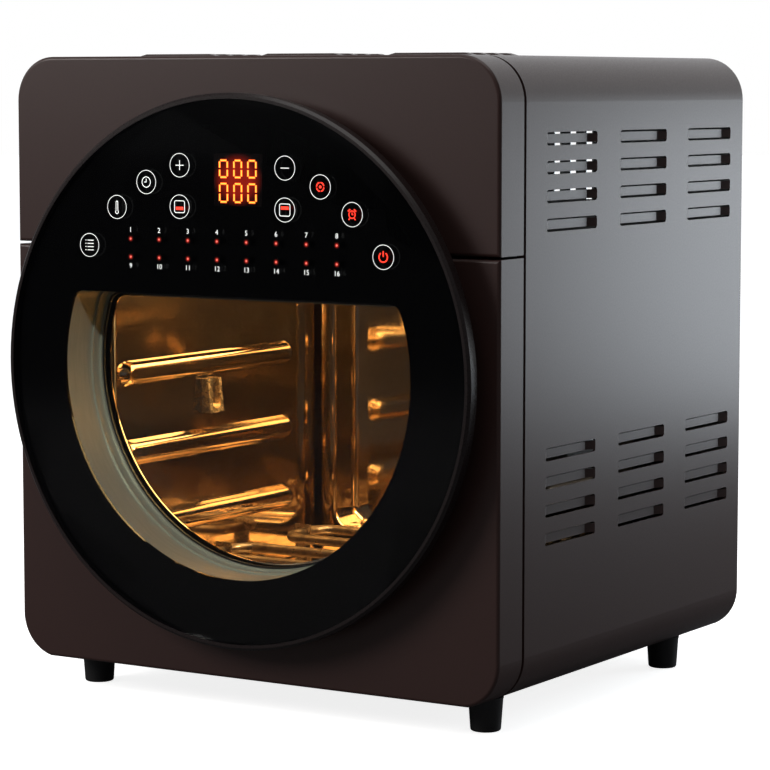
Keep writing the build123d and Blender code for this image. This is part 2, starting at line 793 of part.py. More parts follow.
# Fan dish above the ceiling, with holes for the shaft and the heater's ends
heater_leg_angles = (80, 100)
with BuildPart() as fan_dish:
    with BuildSketch(Plane.XY.offset(dish_z)):
        with Locations((0, fan_y)):
            Circle(dish_radius + dish_flange)
            Circle(dish_radius, mode=Mode.SUBTRACT)
    extrude(amount=liner)
    with BuildSketch(Plane.XY.offset(dish_z)):
        with Locations((0, fan_y)):
            Circle(dish_radius + liner)
            Circle(dish_radius, mode=Mode.SUBTRACT)
    extrude(amount=dish_height)
    with BuildSketch(Plane.XY.offset(dish_top_z - liner)):
        with Locations((0, fan_y)):
            Circle(dish_radius + liner)
            Circle(shaft_radius + 2, mode=Mode.SUBTRACT)
            for angle in heater_leg_angles:
                with PolarLocations(ring_heater_radius, 1, start_angle=angle):
                    Circle(heater_radius + 0.5, mode=Mode.SUBTRACT)
    extrude(amount=liner)
fan_dish.part.label = "fan_dish"
export_step(fan_dish.part, "parts/fan_dish.step")

# Upper heater: an open ring of tube with two upright ends
ring_heater_z = dish_z + ring_heater_lift
with BuildPart() as upper_heater:
    with BuildLine():
        ring = CenterArc((0, fan_y, ring_heater_z), ring_heater_radius, heater_leg_angles[1],
                         360 - (heater_leg_angles[1] - heater_leg_angles[0]))
    with BuildSketch(Plane(origin=ring @ 0, z_dir=ring % 0)):
        RegularPolygon(heater_radius, tube_sides)
    sweep()
    with BuildSketch(Plane.XY.offset(ring_heater_z - heater_radius / 2)):
        with Locations(*[(end.X, end.Y) for end in (ring @ 0, ring @ 1)]):
            RegularPolygon(heater_radius, tube_sides)
    extrude(amount=dish_height)
upper_heater.part.label = "upper_heater"
export_step(upper_heater.part, "parts/upper_heater.step")

# Floor heater: a serpentine tube that enters through the right wall
tube_end_x = liner_outer_x + spit_motor_gap
with BuildPart() as floor_heater:
    with BuildLine():
        serpentine = FilletPolyline(
            (tube_end_x, heater_ys[0], floor_heater_z),
            (-floor_heater_reach, heater_ys[0], floor_heater_z),
            (-floor_heater_reach, heater_ys[1], floor_heater_z),
            (floor_heater_reach, heater_ys[1], floor_heater_z),
            (floor_heater_reach, heater_ys[2], floor_heater_z),
            (-floor_heater_reach, heater_ys[2], floor_heater_z),
            (-floor_heater_reach, heater_ys[3], floor_heater_z),
            (tube_end_x, heater_ys[3], floor_heater_z),
            radius=floor_heater_bend,
        )
    with BuildSketch(side_view(tube_end_x)):
        with Locations((heater_ys[0], floor_heater_z)):
            RegularPolygon(heater_radius, tube_sides)
    sweep()
floor_heater.part.label = "floor_heater"
export_step(floor_heater.part, "parts/floor_heater.step")

# Clips that hold the floor heater at its left turns
for first, place in ((0, "front"), (2, "rear")):
    clip_y = (heater_ys[first] + heater_ys[first + 1]) / 2
    clip_tall = floor_heater_lift + heater_radius + sheet * 2
    with BuildPart() as heater_clip:
        with BuildSketch(front_view(clip_y + sheet / 2)):
            with Locations((-floor_heater_reach, floor_z + clip_tall / 2)):
                Rectangle(clip_width, clip_tall)
            with Locations((-floor_heater_reach, floor_heater_z)):
                Circle(heater_radius + panel_clearance, mode=Mode.SUBTRACT)
        extrude(amount=-sheet)
        with BuildSketch(Plane.XY.offset(floor_z)):
            with Locations((-floor_heater_reach, clip_y + sheet)):
                Rectangle(clip_width, clip_width, align=(Align.CENTER, Align.MIN))
        extrude(amount=sheet)
    heater_clip.part.label = f"heater_clip_{place}"
    export_step(heater_clip.part, f"parts/heater_clip_{place}.step")


def blades(radius, tall, low_z, hub_radius, count):
    """Thin upright fan blades round the fan's axis, set at a slant to the radius."""
    length = radius - hub_radius
    with Locations((0, fan_y, low_z + tall / 2)):
        with PolarLocations(hub_radius + length / 2 - sheet, count):
            Box(length, sheet, tall, rotation=(0, 0, blade_slant))


# Fan that moves the hot air
fan_z = dish_z + fan_lift
with BuildPart() as hot_air_fan:
    with BuildSketch(Plane.XY.offset(fan_z + blade_tall)):
        with Locations((0, fan_y)):
            Circle(fan_radius)
    extrude(amount=sheet)
    with BuildSketch(Plane.XY.offset(fan_z)):
        with Locations((0, fan_y)):
            Circle(shaft_radius * 2)
    extrude(amount=blade_tall)
    blades(fan_radius - sheet, blade_tall, fan_z, shaft_radius * 2, blade_count)
    with BuildSketch(Plane.XY.offset(fan_z)):
        with Locations((0, fan_y)):
            Circle(shaft_radius)
    extrude(amount=blade_tall + sheet, mode=Mode.SUBTRACT)
hot_air_fan.part.label = "hot_air_fan"
export_step(hot_air_fan.part, "parts/hot_air_fan.step")

# Cooling fan above the motor, on the same shaft
with BuildPart() as cooling_fan:
    with BuildSketch(Plane.XY.offset(cooling_fan_z)):
        with Locations((0, fan_y)):
            Circle(cooling_fan_radius)
    extrude(amount=sheet)
    with BuildSketch(Plane.XY.offset(cooling_fan_z + sheet)):
        with Locations((0, fan_y)):
            Circle(shaft_radius * 2)
    extrude(amount=cooling_fan_tall)
    blades(cooling_fan_radius - sheet, cooling_fan_tall, cooling_fan_z + sheet, shaft_radius * 2,
           blade_count)
    with BuildSketch(Plane.XY.offset(cooling_fan_z)):
        with Locations((0, fan_y)):
            Circle(shaft_radius)
    extrude(amount=cooling_fan_tall + sheet, mode=Mode.SUBTRACT)
cooling_fan.part.label = "cooling_fan"
export_step(cooling_fan.part, "parts/cooling_fan.step")

# Shaft that carries both fans
with BuildPart() as fan_shaft:
    with BuildSketch(Plane.XY.offset(fan_z)):
        with Locations((0, fan_y)):
            Circle(shaft_radius)
    extrude(amount=cooling_fan_z + sheet + cooling_fan_tall - fan_z)
fan_shaft.part.label = "fan_shaft"
export_step(fan_shaft.part, "parts/fan_shaft.step")

# Fan motor: a square core with a bearing cap and the shaft's bore
with BuildPart() as fan_motor:
    with BuildSketch(Plane.XY.offset(motor_z)):
        with Locations((0, fan_y)):
            RectangleRounded(motor_size, motor_size, 4.0)
    extrude(amount=motor_tall)
    with BuildSketch(Plane.XY.offset(motor_top_z)):
        with Locations((0, fan_y)):
            Circle(shaft_radius * 3)
    extrude(amount=cooling_fan_gap / 2)
    with BuildSketch(Plane.XY.offset(motor_z)):
        with Locations((0, fan_y)):
            Circle(shaft_radius + shaft_clearance)
    extrude(amount=motor_tall + cooling_fan_gap / 2, mode=Mode.SUBTRACT)
fan_motor.part.label = "fan_motor"
export_step(fan_motor.part, "parts/fan_motor.step")

# Motor bracket: a plate on four pillars that stand on the dish
with BuildPart() as motor_bracket:
    with BuildSketch(Plane.XY.offset(motor_z - sheet)):
        with Locations((0, fan_y)):
            RectangleRounded(motor_size + 2 * bracket_rim, motor_size + 2 * bracket_rim, bracket_rim / 2)
            Circle(shaft_radius + 2, mode=Mode.SUBTRACT)
    extrude(amount=sheet)
    with BuildSketch(Plane.XY.offset(dish_top_z)):
        with Locations((0, fan_y)):
            with GridLocations(motor_size + bracket_rim, motor_size + bracket_rim, 2, 2):
                Circle(spacer_radius)
    extrude(amount=motor_lift - sheet)
motor_bracket.part.label = "motor_bracket"
export_step(motor_bracket.part, "parts/motor_bracket.step")

# Thermal cut-out on the dish
with BuildPart() as thermal_cutout:
    with BuildSketch(Plane.XY.offset(dish_top_z)):
        with Locations((-ring_heater_radius, fan_y)):
            Circle(cutout_radius)
    extrude(amount=cutout_radius)
thermal_cutout.part.label = "thermal_cutout"
export_step(thermal_cutout.part, "parts/thermal_cutout.step")

# Rotisserie motor on a bracket outside the right wall
bracket_x = liner_outer_x + spit_motor_gap
with BuildPart() as rotisserie_bracket:
    with BuildSketch(side_view(bracket_x - sheet)):
        with Locations((spit_y, spit_z)):
            RectangleRounded(2 * spit_motor_radius, 2 * spit_motor_radius, 6.0)
            Circle(spit_hole_radius, mode=Mode.SUBTRACT)
    extrude(amount=sheet)
    with BuildSketch(side_view(liner_outer_x)):
        with Locations((spit_y, spit_z)):
            with GridLocations(spit_post_pitch, spit_post_pitch, 2, 2):
                Circle(spacer_radius)
    extrude(amount=spit_motor_gap - sheet)
rotisserie_bracket.part.label = "rotisserie_bracket"
export_step(rotisserie_bracket.part, "parts/rotisserie_bracket.step")

spit_engage = spit_motor_length / 2
with BuildPart() as rotisserie_motor:
    with BuildSketch(side_view(bracket_x)):
        with Locations((spit_y, spit_z)):
            Circle(spit_motor_radius)
    extrude(amount=spit_motor_length)
    with BuildSketch(side_view(bracket_x)):
        with Locations((spit_y, spit_z)):
            Circle(spit_radius + shaft_clearance)
    extrude(amount=spit_engage, mode=Mode.SUBTRACT)
rotisserie_motor.part.label = "rotisserie_motor"
export_step(rotisserie_motor.part, "parts/rotisserie_motor.step")

# Spit socket: the turning cup inside the right wall, on the motor's shaft
cup_back_x = half_cavity - hinge_clearance
with BuildPart() as spit_socket:
    with BuildSketch(side_view(cup_back_x - spit_cup_length)):
        with Locations((spit_y, spit_z)):
            Circle(spit_cup_radius)
    extrude(amount=spit_cup_length)
    with BuildSketch(side_view(cup_back_x)):
        with Locations((spit_y, spit_z)):
            Circle(spit_radius)
    extrude(amount=bracket_x + spit_engage - hinge_clearance - cup_back_x)
    with BuildSketch(side_view(cup_back_x - spit_cup_length)):
        with Locations((spit_y, spit_z)):
            Rectangle(spit_socket_across, spit_socket_across)
    extrude(amount=spit_cup_length, mode=Mode.SUBTRACT)
spit_socket.part.label = "spit_socket"
export_step(spit_socket.part, "parts/spit_socket.step")

# Spit rest: a narrow pocket on the left wall that leans back and is open at the top
rest_low_z = spit_z - rest_slot_radius - rest_sill
with BuildPart() as spit_rest:
    with BuildSketch(front_view(spit_y - rest_width / 2)):
        with BuildLine():
            Polyline(
                (-half_cavity, rest_low_z),
                (-half_cavity + rest_reach, rest_low_z),
                (-half_cavity + rest_top_reach, rest_low_z + rest_tall),
                (-half_cavity, rest_low_z + rest_tall),
                close=True,
            )
        make_face()
    extrude(amount=-rest_width)
    with BuildSketch(side_view(-half_cavity + sheet)):
        with Locations((spit_y, spit_z)):
            Circle(rest_slot_radius)
            Rectangle(2 * rest_slot_radius, rest_tall, align=(Align.CENTER, Align.MIN))
    extrude(amount=rest_reach, mode=Mode.SUBTRACT)
spit_rest.part.label = "spit_rest"
export_step(spit_rest.part, "parts/spit_rest.step")

# Cavity lamp: lens in the right wall, bulb and box behind it
with BuildPart() as lamp_lens:
    with BuildSketch(side_view(half_cavity)):
        with Locations((lamp_y, lamp_z)):
            Circle(lamp_radius - panel_clearance)
    extrude(amount=liner)
    with BuildSketch(side_view(liner_outer_x)):
        with Locations((lamp_y, lamp_z)):
            Circle(lamp_radius + sheet)
    extrude(amount=sheet)
lamp_lens.part.label = "lamp_lens"
export_step(lamp_lens.part, "parts/lamp_lens.step")

with BuildPart() as lamp_housing:
    with BuildSketch(side_view(liner_outer_x)):
        with Locations((lamp_y, lamp_z)):
            RectangleRounded(lamp_box, lamp_box, 4.0)
    extrude(amount=lamp_box_depth)
    with BuildSketch(side_view(liner_outer_x)):
        with Locations((lamp_y, lamp_z)):
            RectangleRounded(lamp_box - 2 * liner, lamp_box - 2 * liner, 4.0 - liner)
    extrude(amount=lamp_box_depth - liner, mode=Mode.SUBTRACT)
lamp_housing.part.label = "lamp_housing"
export_step(lamp_housing.part, "parts/lamp_housing.step")

with BuildPart() as lamp_bulb:
    with BuildSketch(side_view(liner_outer_x + lamp_box_depth - liner)):
        with Locations((lamp_y, lamp_z)):
            Circle(bulb_radius)
    extrude(amount=-lamp_box_depth / 2)
    chamfer(lamp_bulb.edges().group_by(Axis.X)[0], length=bulb_radius * 0.4)
lamp_bulb.part.label = "lamp_bulb"
export_step(lamp_bulb.part, "parts/lamp_bulb.step")

# Power board on spacers behind the bulkhead, with its larger components
power_y = cavity_y + spacer_length
with BuildPart() as power_board:
    with BuildSketch(front_view(power_y)):
        with Locations((0, base_z + power_board_height)):
            Rectangle(power_board_width, power_board_tall)
    extrude(amount=-board_thickness)
    with BuildSketch(front_view(power_y + board_thickness)):
        with Locations((-power_board_width / 4, base_z + power_board_height)):
            Rectangle(power_board_width / 4, power_board_tall / 2)
        with Locations((power_board_width / 4, base_z + power_board_height)):
            with GridLocations(power_board_width / 6, power_board_tall / 3, 2, 2):
                Rectangle(power_board_width / 10, power_board_tall / 5)
    extrude(amount=-component_tall)
power_board.part.label = "power_board"
export_step(power_board.part, "parts/power_board.step")

with BuildPart() as board_spacers:
    with BuildSketch(front_view(cavity_y)):
        with Locations((0, base_z + power_board_height)):
            with GridLocations(power_board_width - 4 * spacer_radius,
                               power_board_tall - 4 * spacer_radius, 2, 2):
                Circle(spacer_radius)
    extrude(amount=-spacer_length)
board_spacers.part.label = "board_spacers"
export_step(board_spacers.part, "parts/board_spacers.step")
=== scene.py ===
"""Looks of the air fryer oven: its finishes, touch panel, lit cavity, heater, feet, studio and camera."""

import json
import math

import bmesh
import bpy
import numpy as np
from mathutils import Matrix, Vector


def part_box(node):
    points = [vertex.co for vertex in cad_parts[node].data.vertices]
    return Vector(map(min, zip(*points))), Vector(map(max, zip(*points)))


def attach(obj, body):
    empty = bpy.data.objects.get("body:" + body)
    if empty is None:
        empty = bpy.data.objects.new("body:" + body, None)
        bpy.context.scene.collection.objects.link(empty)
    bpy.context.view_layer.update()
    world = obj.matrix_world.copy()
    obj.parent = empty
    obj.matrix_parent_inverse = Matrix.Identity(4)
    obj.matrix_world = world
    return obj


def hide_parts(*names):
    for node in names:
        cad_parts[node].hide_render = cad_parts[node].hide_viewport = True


bl_info = {
    "name": "Air fryer oven looks",
    "version": (1, 0, 0),
    "blender": (4, 5, 0),
    "location": "3D View > Sidebar > Oven",
    "description": "Finishes, touch panel, cavity and studio for the air fryer oven",
    "category": "Object",
}

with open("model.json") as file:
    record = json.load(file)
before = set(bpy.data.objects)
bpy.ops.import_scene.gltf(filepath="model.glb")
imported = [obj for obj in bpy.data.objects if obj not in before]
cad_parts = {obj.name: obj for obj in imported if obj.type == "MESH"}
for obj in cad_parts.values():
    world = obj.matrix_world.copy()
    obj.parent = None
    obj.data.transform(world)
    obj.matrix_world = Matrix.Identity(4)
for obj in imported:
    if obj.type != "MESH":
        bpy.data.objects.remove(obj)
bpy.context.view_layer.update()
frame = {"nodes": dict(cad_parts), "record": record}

MM = 0.001
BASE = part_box("base_pan")[0].z
GLASS_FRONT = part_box("front_glass")[0].y
PRINT_DEPTH = 0.06 * MM
SHARP_ANGLE = math.radians(35)
MERGE_DISTANCE = 1e-7
SHORTEST_EDGE = 1e-8
QUARTER_TURN = math.pi / 2

# Sheet of the cavity, its rails above the body's underside, and the recess of its rear wall
LINER = 0.8 * MM
RAIL_LEVELS = (77.0 * MM, 124.0 * MM, 174.0 * MM)
RAIL_START = 5 * MM
RAIL_END = 191 * MM
RAIL_ROUNDNESS = 2.4
LEFT_WALL_GRID = (170, 230)
RECESS_SIDE = 17.3 * MM
RECESS_FOOT = 19.8 * MM
RECESS_CORNER = 12 * MM
RECESS_BEND = 4 * MM
WALL_CORNER = 0.2 * MM
BEND_RINGS = 7

# Floor heater and feet
HEATER_ROWS = 4
HEATER_BEND = 15 * MM
FOOT_TAPER = 1.5 * MM
FOOT_EDGE = 1.4 * MM
FOOT_NECK = 1.5 * MM
FOOT_COLLAR = 0.8 * MM
FOOT_COLLAR_STEP = 0.3 * MM

# Camera of the photograph: place, turn from the front, tilt down and lens
CAMERA_PLACE = Vector((1.0018, -1.6038, 0.3730))
CAMERA_AZIMUTH = math.radians(31.92)
CAMERA_ELEVATION = math.radians(5.70)
CAMERA_LENS = 141.3
SENSOR_WIDTH = 36.0

# Rings of the floor, and gaps from the cavity's two lights to the lens and to the ceiling
FLOOR_RADII = (0.0, 1.0, 4.0, 14.0)
LAMP_GAP = 8 * MM
GLOW_GAP = 20 * MM

# Lights that only reach the window's ring, or that leave it out
RING_LINK = {"ring_key": "INCLUDE", "ceiling_glow": "EXCLUDE"}


class OvenSizes(bpy.types.PropertyGroup):
    """Sizes that a user would change."""

    icon_radius: bpy.props.FloatProperty(
        name="Icon radius", description="Radius of the ring round each sign", default=6.9 * MM, unit="LENGTH")
    ring_line: bpy.props.FloatProperty(
        name="Ring line", description="Width of the line of each ring", default=0.34 * MM, unit="LENGTH")
    sign_line: bpy.props.FloatProperty(
        name="Sign line", description="Width of the lines of the signs", default=0.48 * MM, unit="LENGTH")
    number_height: bpy.props.FloatProperty(
        name="Number height", description="Height of the programme numbers", default=4.2 * MM, unit="LENGTH")
    led_radius: bpy.props.FloatProperty(
        name="Indicator radius", description="Radius of an indicator's glow", default=2.1 * MM, unit="LENGTH")
    segment_line: bpy.props.FloatProperty(
        name="Segment width", description="Width of a display segment", default=1.45 * MM, unit="LENGTH")
    rail_half: bpy.props.FloatProperty(
        name="Rail half height", description="Half of a rail's height", default=7.5 * MM, unit="LENGTH")
    rail_crown: bpy.props.FloatProperty(
        name="Rail crown", description="Half of the rail's flat top", default=1.8 * MM, unit="LENGTH")
    edge_bend: bpy.props.FloatProperty(
        name="Recess edge", description="Bend radius at the recess's edge", default=2.2 * MM, unit="LENGTH")


class OvenColours(bpy.types.PropertyGroup):
    """Colours that a user would change, as linear values."""

    paint: bpy.props.FloatVectorProperty(
        name="Paint", description="Baked paint of the casing", subtype="COLOR",
        default=(0.041, 0.0195, 0.0170))
    steel: bpy.props.FloatVectorProperty(
        name="Steel", description="Bright sheet of the cavity", default=(0.68, 0.54, 0.39), subtype="COLOR")
    ring: bpy.props.FloatVectorProperty(
        name="Ring", description="Metal of the window's ring", default=(0.42, 0.43, 0.34), subtype="COLOR")
    lamp: bpy.props.FloatVectorProperty(
        name="Lamp light", description="Light of the cavity lamp", default=(1.0, 0.66, 0.25), subtype="COLOR")
    signs: bpy.props.FloatVectorProperty(
        name="Signs", description="Backlit signs and rings", default=(0.80, 0.82, 0.80), subtype="COLOR")
    glow: bpy.props.FloatVectorProperty(
        name="Glow", description="Red signs and indicators", default=(1.0, 0.035, 0.015), subtype="COLOR")
    digits: bpy.props.FloatVectorProperty(
        name="Digits", description="Core of the display's digits", default=(1.0, 0.50, 0.06), subtype="COLOR")


# Node trees


def add(tree, kind, inputs=None, **settings):
    """One node with its settings; an input is a plain value or the output socket that feeds it."""
    node = tree.nodes.new(kind)
    for key, value in settings.items():
        setattr(node, key, value)
    for key, value in (inputs or {}).items():
        if isinstance(value, bpy.types.NodeSocket):
            tree.links.new(value, node.inputs[key])
        else:
            node.inputs[key].default_value = value
    return node


def new_group(name, inputs, outputs):
    """An empty shader node group with named sockets; returns the group, its input and its output node."""
    group = bpy.data.node_groups.new(name, "ShaderNodeTree")
    for label, kind, value in inputs:
        socket = group.interface.new_socket(label, in_out="INPUT", socket_type=kind)
        socket.default_value = value
    for label, kind in outputs:
        group.interface.new_socket(label, in_out="OUTPUT", socket_type=kind)
    return group, group.nodes.new("NodeGroupInput"), group.nodes.new("NodeGroupOutput")


def grain_group():
    """Grain: noise stretched along the three axes, as a mask and as a height."""
    found = bpy.data.node_groups.get("oven_grain")
    if found:
        return found
    group, given, out = new_group(
        "oven_grain",
        [("Stretch", "NodeSocketVector", (100.0, 100.0, 100.0)), ("Detail", "NodeSocketFloat", 3.0)],
        [("Mask", "NodeSocketFloat"), ("Height", "NodeSocketFloat")])
    place = add(group, "ShaderNodeTexCoord")
    scaled = add(group, "ShaderNodeMapping", {
        "Vector": place.outputs["Object"], "Scale": given.outputs["Stretch"]})
    noise = add(group, "ShaderNodeTexNoise", {
        "Vector": scaled.outputs["Vector"], "Scale": 1.0, "Detail": given.outputs["Detail"],
        "Roughness": 0.6})
    spread = add(group, "ShaderNodeMapRange", {
        "Value": noise.outputs["Fac"], "From Min": 0.32, "From Max": 0.68})
    group.links.new(spread.outputs["Result"], out.inputs["Mask"])
    group.links.new(noise.outputs["Fac"], out.inputs["Height"])
    return group


def dust_group():
    """Dust: cloudy patches that are thickest on faces that look up."""
    found = bpy.data.node_groups.get("oven_dust")
    if found:
        return found
    group, given, out = new_group(
        "oven_dust", [("Scale", "NodeSocketFloat", 30.0), ("Amount", "NodeSocketFloat", 0.1)],
        [("Mask", "NodeSocketFloat")])
    place = add(group, "ShaderNodeTexCoord")
    noise = add(group, "ShaderNodeTexNoise", {
        "Vector": place.outputs["Object"], "Scale": given.outputs["Scale"], "Detail": 4.0})
    patch = add(group, "ShaderNodeMapRange", {
        "Value": noise.outputs["Fac"], "From Min": 0.4, "From Max": 0.75})
    facing = add(group, "ShaderNodeNewGeometry")
    parts = add(group, "ShaderNodeSeparateXYZ", {"Vector": facing.outputs["Normal"]})
    upward = add(group, "ShaderNodeMapRange", {
        "Value": parts.outputs["Z"], "From Min": -0.2, "From Max": 1.0, "To Min": 0.15, "To Max": 1.0})
    both = add(group, "ShaderNodeMath", {0: patch.outputs["Result"], 1: upward.outputs["Result"]},
               operation="MULTIPLY")
    amount = add(group, "ShaderNodeMath", {0: both.outputs[0], 1: given.outputs["Amount"]},
                 operation="MULTIPLY")
    group.links.new(amount.outputs[0], out.inputs["Mask"])
    return group


def mix_colour(tree, factor, first, second):
    """A colour mix node's output; a colour is three linear values or a socket."""
    def full(colour):
        return colour if isinstance(colour, bpy.types.NodeSocket) else (*colour, 1.0)
    node = add(tree, "ShaderNodeMix", {"Factor": factor}, data_type="RGBA")
    for index, colour in ((6, full(first)), (7, full(second))):
        if isinstance(colour, bpy.types.NodeSocket):
            tree.links.new(colour, node.inputs[index])
        else:
            node.inputs[index].default_value = colour
    return node.outputs[2]


# Slow wave of rolled sheet, as noise per metre
WAVE_STRETCH = (16.0, 16.0, 16.0)
WAVE_DETAIL = 1.0


def darker(colour, share):
    """A colour times a share."""
    return tuple(channel * share for channel in colour)


def finish(name, colour, shade, rough, stretch, bump=0.2, depth=0.05 * MM, dust=0.1,
           dust_colour=(0.35, 0.32, 0.29), wave=0.0, **plain):
    """A surface finish, made once for each name.

    Two tones are mixed by grain under a film of dust, with uneven roughness, a fine bump and a slow wave.
    """
    material = bpy.data.materials.get(f"oven_{name}")
    if material:
        return material
    material = bpy.data.materials.new(f"oven_{name}")
    material.use_nodes = True
    tree = material.node_tree
    tree.nodes.clear()
    grain = add(tree, "ShaderNodeGroup", node_tree=grain_group())
    grain.inputs["Stretch"].default_value = stretch
    film = add(tree, "ShaderNodeGroup", node_tree=dust_group())
    film.inputs["Amount"].default_value = dust
    toned = mix_colour(tree, grain.outputs["Mask"], colour, shade)
    dusted = mix_colour(tree, film.outputs["Mask"], toned, dust_colour)
    low, high = rough
    uneven = add(tree, "ShaderNodeMapRange", {"Value": grain.outputs["Mask"], "To Min": low, "To Max": high})
    relief = add(tree, "ShaderNodeBump", {
        "Height": grain.outputs["Height"], "Strength": bump, "Distance": depth})
    if wave:
        slow = add(tree, "ShaderNodeGroup", node_tree=grain_group())
        slow.inputs["Stretch"].default_value = WAVE_STRETCH
        slow.inputs["Detail"].default_value = WAVE_DETAIL
        relief = add(tree, "ShaderNodeBump", {
            "Height": slow.outputs["Height"], "Strength": 1.0, "Distance": wave,
            "Normal": relief.outputs["Normal"]})
    surface = add(tree, "ShaderNodeBsdfPrincipled", {
        "Base Color": dusted, "Roughness": uneven.outputs["Result"], "Normal": relief.outputs["Normal"]})
    surface.name = "surface"
    for socket, value in plain.items():
        surface.inputs[socket.replace("_", " ")].default_value = value
    add(tree, "ShaderNodeOutputMaterial", {"Surface": surface.outputs["BSDF"]})
    return material


# Finishes

# Brown film that heat leaves on the cavity's steel
SCORCH = (0.25, 0.16, 0.09)


def paint_finish(colours):
    """Satin baked paint with a fine orange peel."""
    base = tuple(colours.paint)
    return finish("baked_paint", base, darker(base, 0.86), (0.34, 0.42), (900.0, 900.0, 900.0),
                  bump=0.10, depth=0.04 * MM, dust=0.006, IOR=1.5, Specular_IOR_Level=0.32)


def zinc_finish(_):
    """Plated sheet steel with a soft spangle."""
    return finish("plated_steel", (0.50, 0.51, 0.52), (0.38, 0.39, 0.40), (0.28, 0.42), (160.0, 160.0, 160.0),
                  bump=0.1, dust=0.10, Metallic=1.0)


def cavity_steel_finish(colours):
    """Bright rolled sheet, its grain along the depth, warm from heat."""
    base = tuple(colours.steel)
    return finish("cavity_steel", base, darker(base, 0.78), (0.06, 0.11), (500.0, 25.0, 500.0),
                  bump=0.04, depth=0.02 * MM, dust=0.05, dust_colour=SCORCH, wave=0.9 * MM, Metallic=1.0)


def drawn_steel_finish(colours):
    """Drawn steel of the small fittings, less bright than the rolled sheet so that it catches the lamp."""
    base = tuple(colours.steel)
    return finish("drawn_steel", base, darker(base, 0.72), (0.20, 0.32), (260.0, 260.0, 260.0),
                  bump=0.15, depth=0.04 * MM, dust=0.05, dust_colour=SCORCH, wave=1.5 * MM, Metallic=1.0)


def ring_finish(colours):
    """Satin metal of the window's ring, lightly brushed along its depth."""
    base = tuple(colours.ring)
    return finish("ring_metal", base, darker(base, 0.88), (0.36, 0.44), (60.0, 900.0, 60.0),
                  bump=0.12, depth=0.03 * MM, dust=0.04, Metallic=0.55)


def rim_painted_shade_finish(_):
    """Darker, glossier copy of the casing paint for the disc's rim; the darkening is painted shade."""
    return finish("rim_painted_shade", (0.014, 0.009, 0.009), (0.011, 0.007, 0.007), (0.26, 0.32),
                  (900.0, 900.0, 900.0), bump=0.06, depth=0.03 * MM, dust=0.01, Specular_IOR_Level=0.3)


def aluminium_finish(_):
    """Stamped aluminium sheet."""
    return finish("stamped_aluminium", (0.72, 0.73, 0.74), (0.60, 0.61, 0.62), (0.25, 0.38),
                  (400.0, 400.0, 90.0), dust=0.08, Metallic=1.0)


def heater_finish(_):
    """Sheathed heater tube with dark oxide patches."""
    return finish("heater_tube", (0.24, 0.19, 0.15), (0.10, 0.075, 0.06), (0.25, 0.45), (120.0, 120.0, 120.0),
                  bump=0.2, dust=0.04, Metallic=1.0)


def plastic_finish(_):
    """Moulded black plastic behind the glass, smooth and glossy where the glass lies on it."""
    return finish("black_moulding", (0.0020, 0.0020, 0.0022), (0.0014, 0.0014, 0.0016), (0.05, 0.08),
                  (500.0, 500.0, 500.0), bump=0.0, dust=0.0, Specular_IOR_Level=0.25)


def rubber_finish(_):
    """Moulded black rubber, matt with a fine texture."""
    return finish("black_rubber", (0.014, 0.014, 0.015), (0.009, 0.009, 0.010), (0.48, 0.62),
                  (1500.0, 1500.0, 1500.0), bump=0.3, dust=0.05)


def silicone_finish(_):
    """Black silicone of the seal and the gasket."""
    return finish("black_silicone", (0.012, 0.012, 0.012), (0.008, 0.008, 0.008), (0.35, 0.5),
                  (600.0, 600.0, 600.0), dust=0.04)


def nylon_finish(_):
    """Natural nylon of the bushes and spacers."""
    return finish("natural_nylon", (0.66, 0.64, 0.57), (0.58, 0.56, 0.50), (0.4, 0.5), (500.0, 500.0, 500.0),
                  Subsurface_Weight=0.1)


def ferrite_finish(_):
    """Sintered magnet."""
    return finish("ferrite", (0.06, 0.06, 0.065), (0.035, 0.035, 0.04), (0.5, 0.7), (1200.0, 1200.0, 1200.0),
                  bump=0.3)


def board_finish(_):
    """Green solder mask of the circuit boards with darker patches."""
    return finish("circuit_board", (0.012, 0.11, 0.040), (0.006, 0.06, 0.022), (0.25, 0.4),
                  (300.0, 300.0, 40.0))


def glass_finish(name, colour, clear):
    """Clear pane: mostly see-through face on, more mirror-like at a slant, with faint smears."""
    material = finish(name, colour, darker(colour, 0.9), (0.02, 0.05), (25.0, 25.0, 25.0), bump=0.0,
                      dust=0.0, IOR=1.5)
    tree = material.node_tree
    slant = add(tree, "ShaderNodeLayerWeight", {"Blend": 0.35})
    cover = add(tree, "ShaderNodeMapRange", {
        "Value": slant.outputs["Fresnel"], "From Max": 1.0, "To Min": clear, "To Max": 0.8})
    tree.links.new(cover.outputs["Result"], tree.nodes["surface"].inputs["Alpha"])
    return material


def lamp_finish(colours):
    """Frosted lamp glass that glows."""
    material = finish("lamp_glass", (0.9, 0.72, 0.45), (0.8, 0.62, 0.36), (0.3, 0.4), (300.0, 300.0, 300.0),
                      dust=0.0)
    surface = material.node_tree.nodes["surface"]
    surface.inputs["Emission Color"].default_value = (*colours.lamp, 1.0)
    surface.inputs["Emission Strength"].default_value = 6.0
    return material


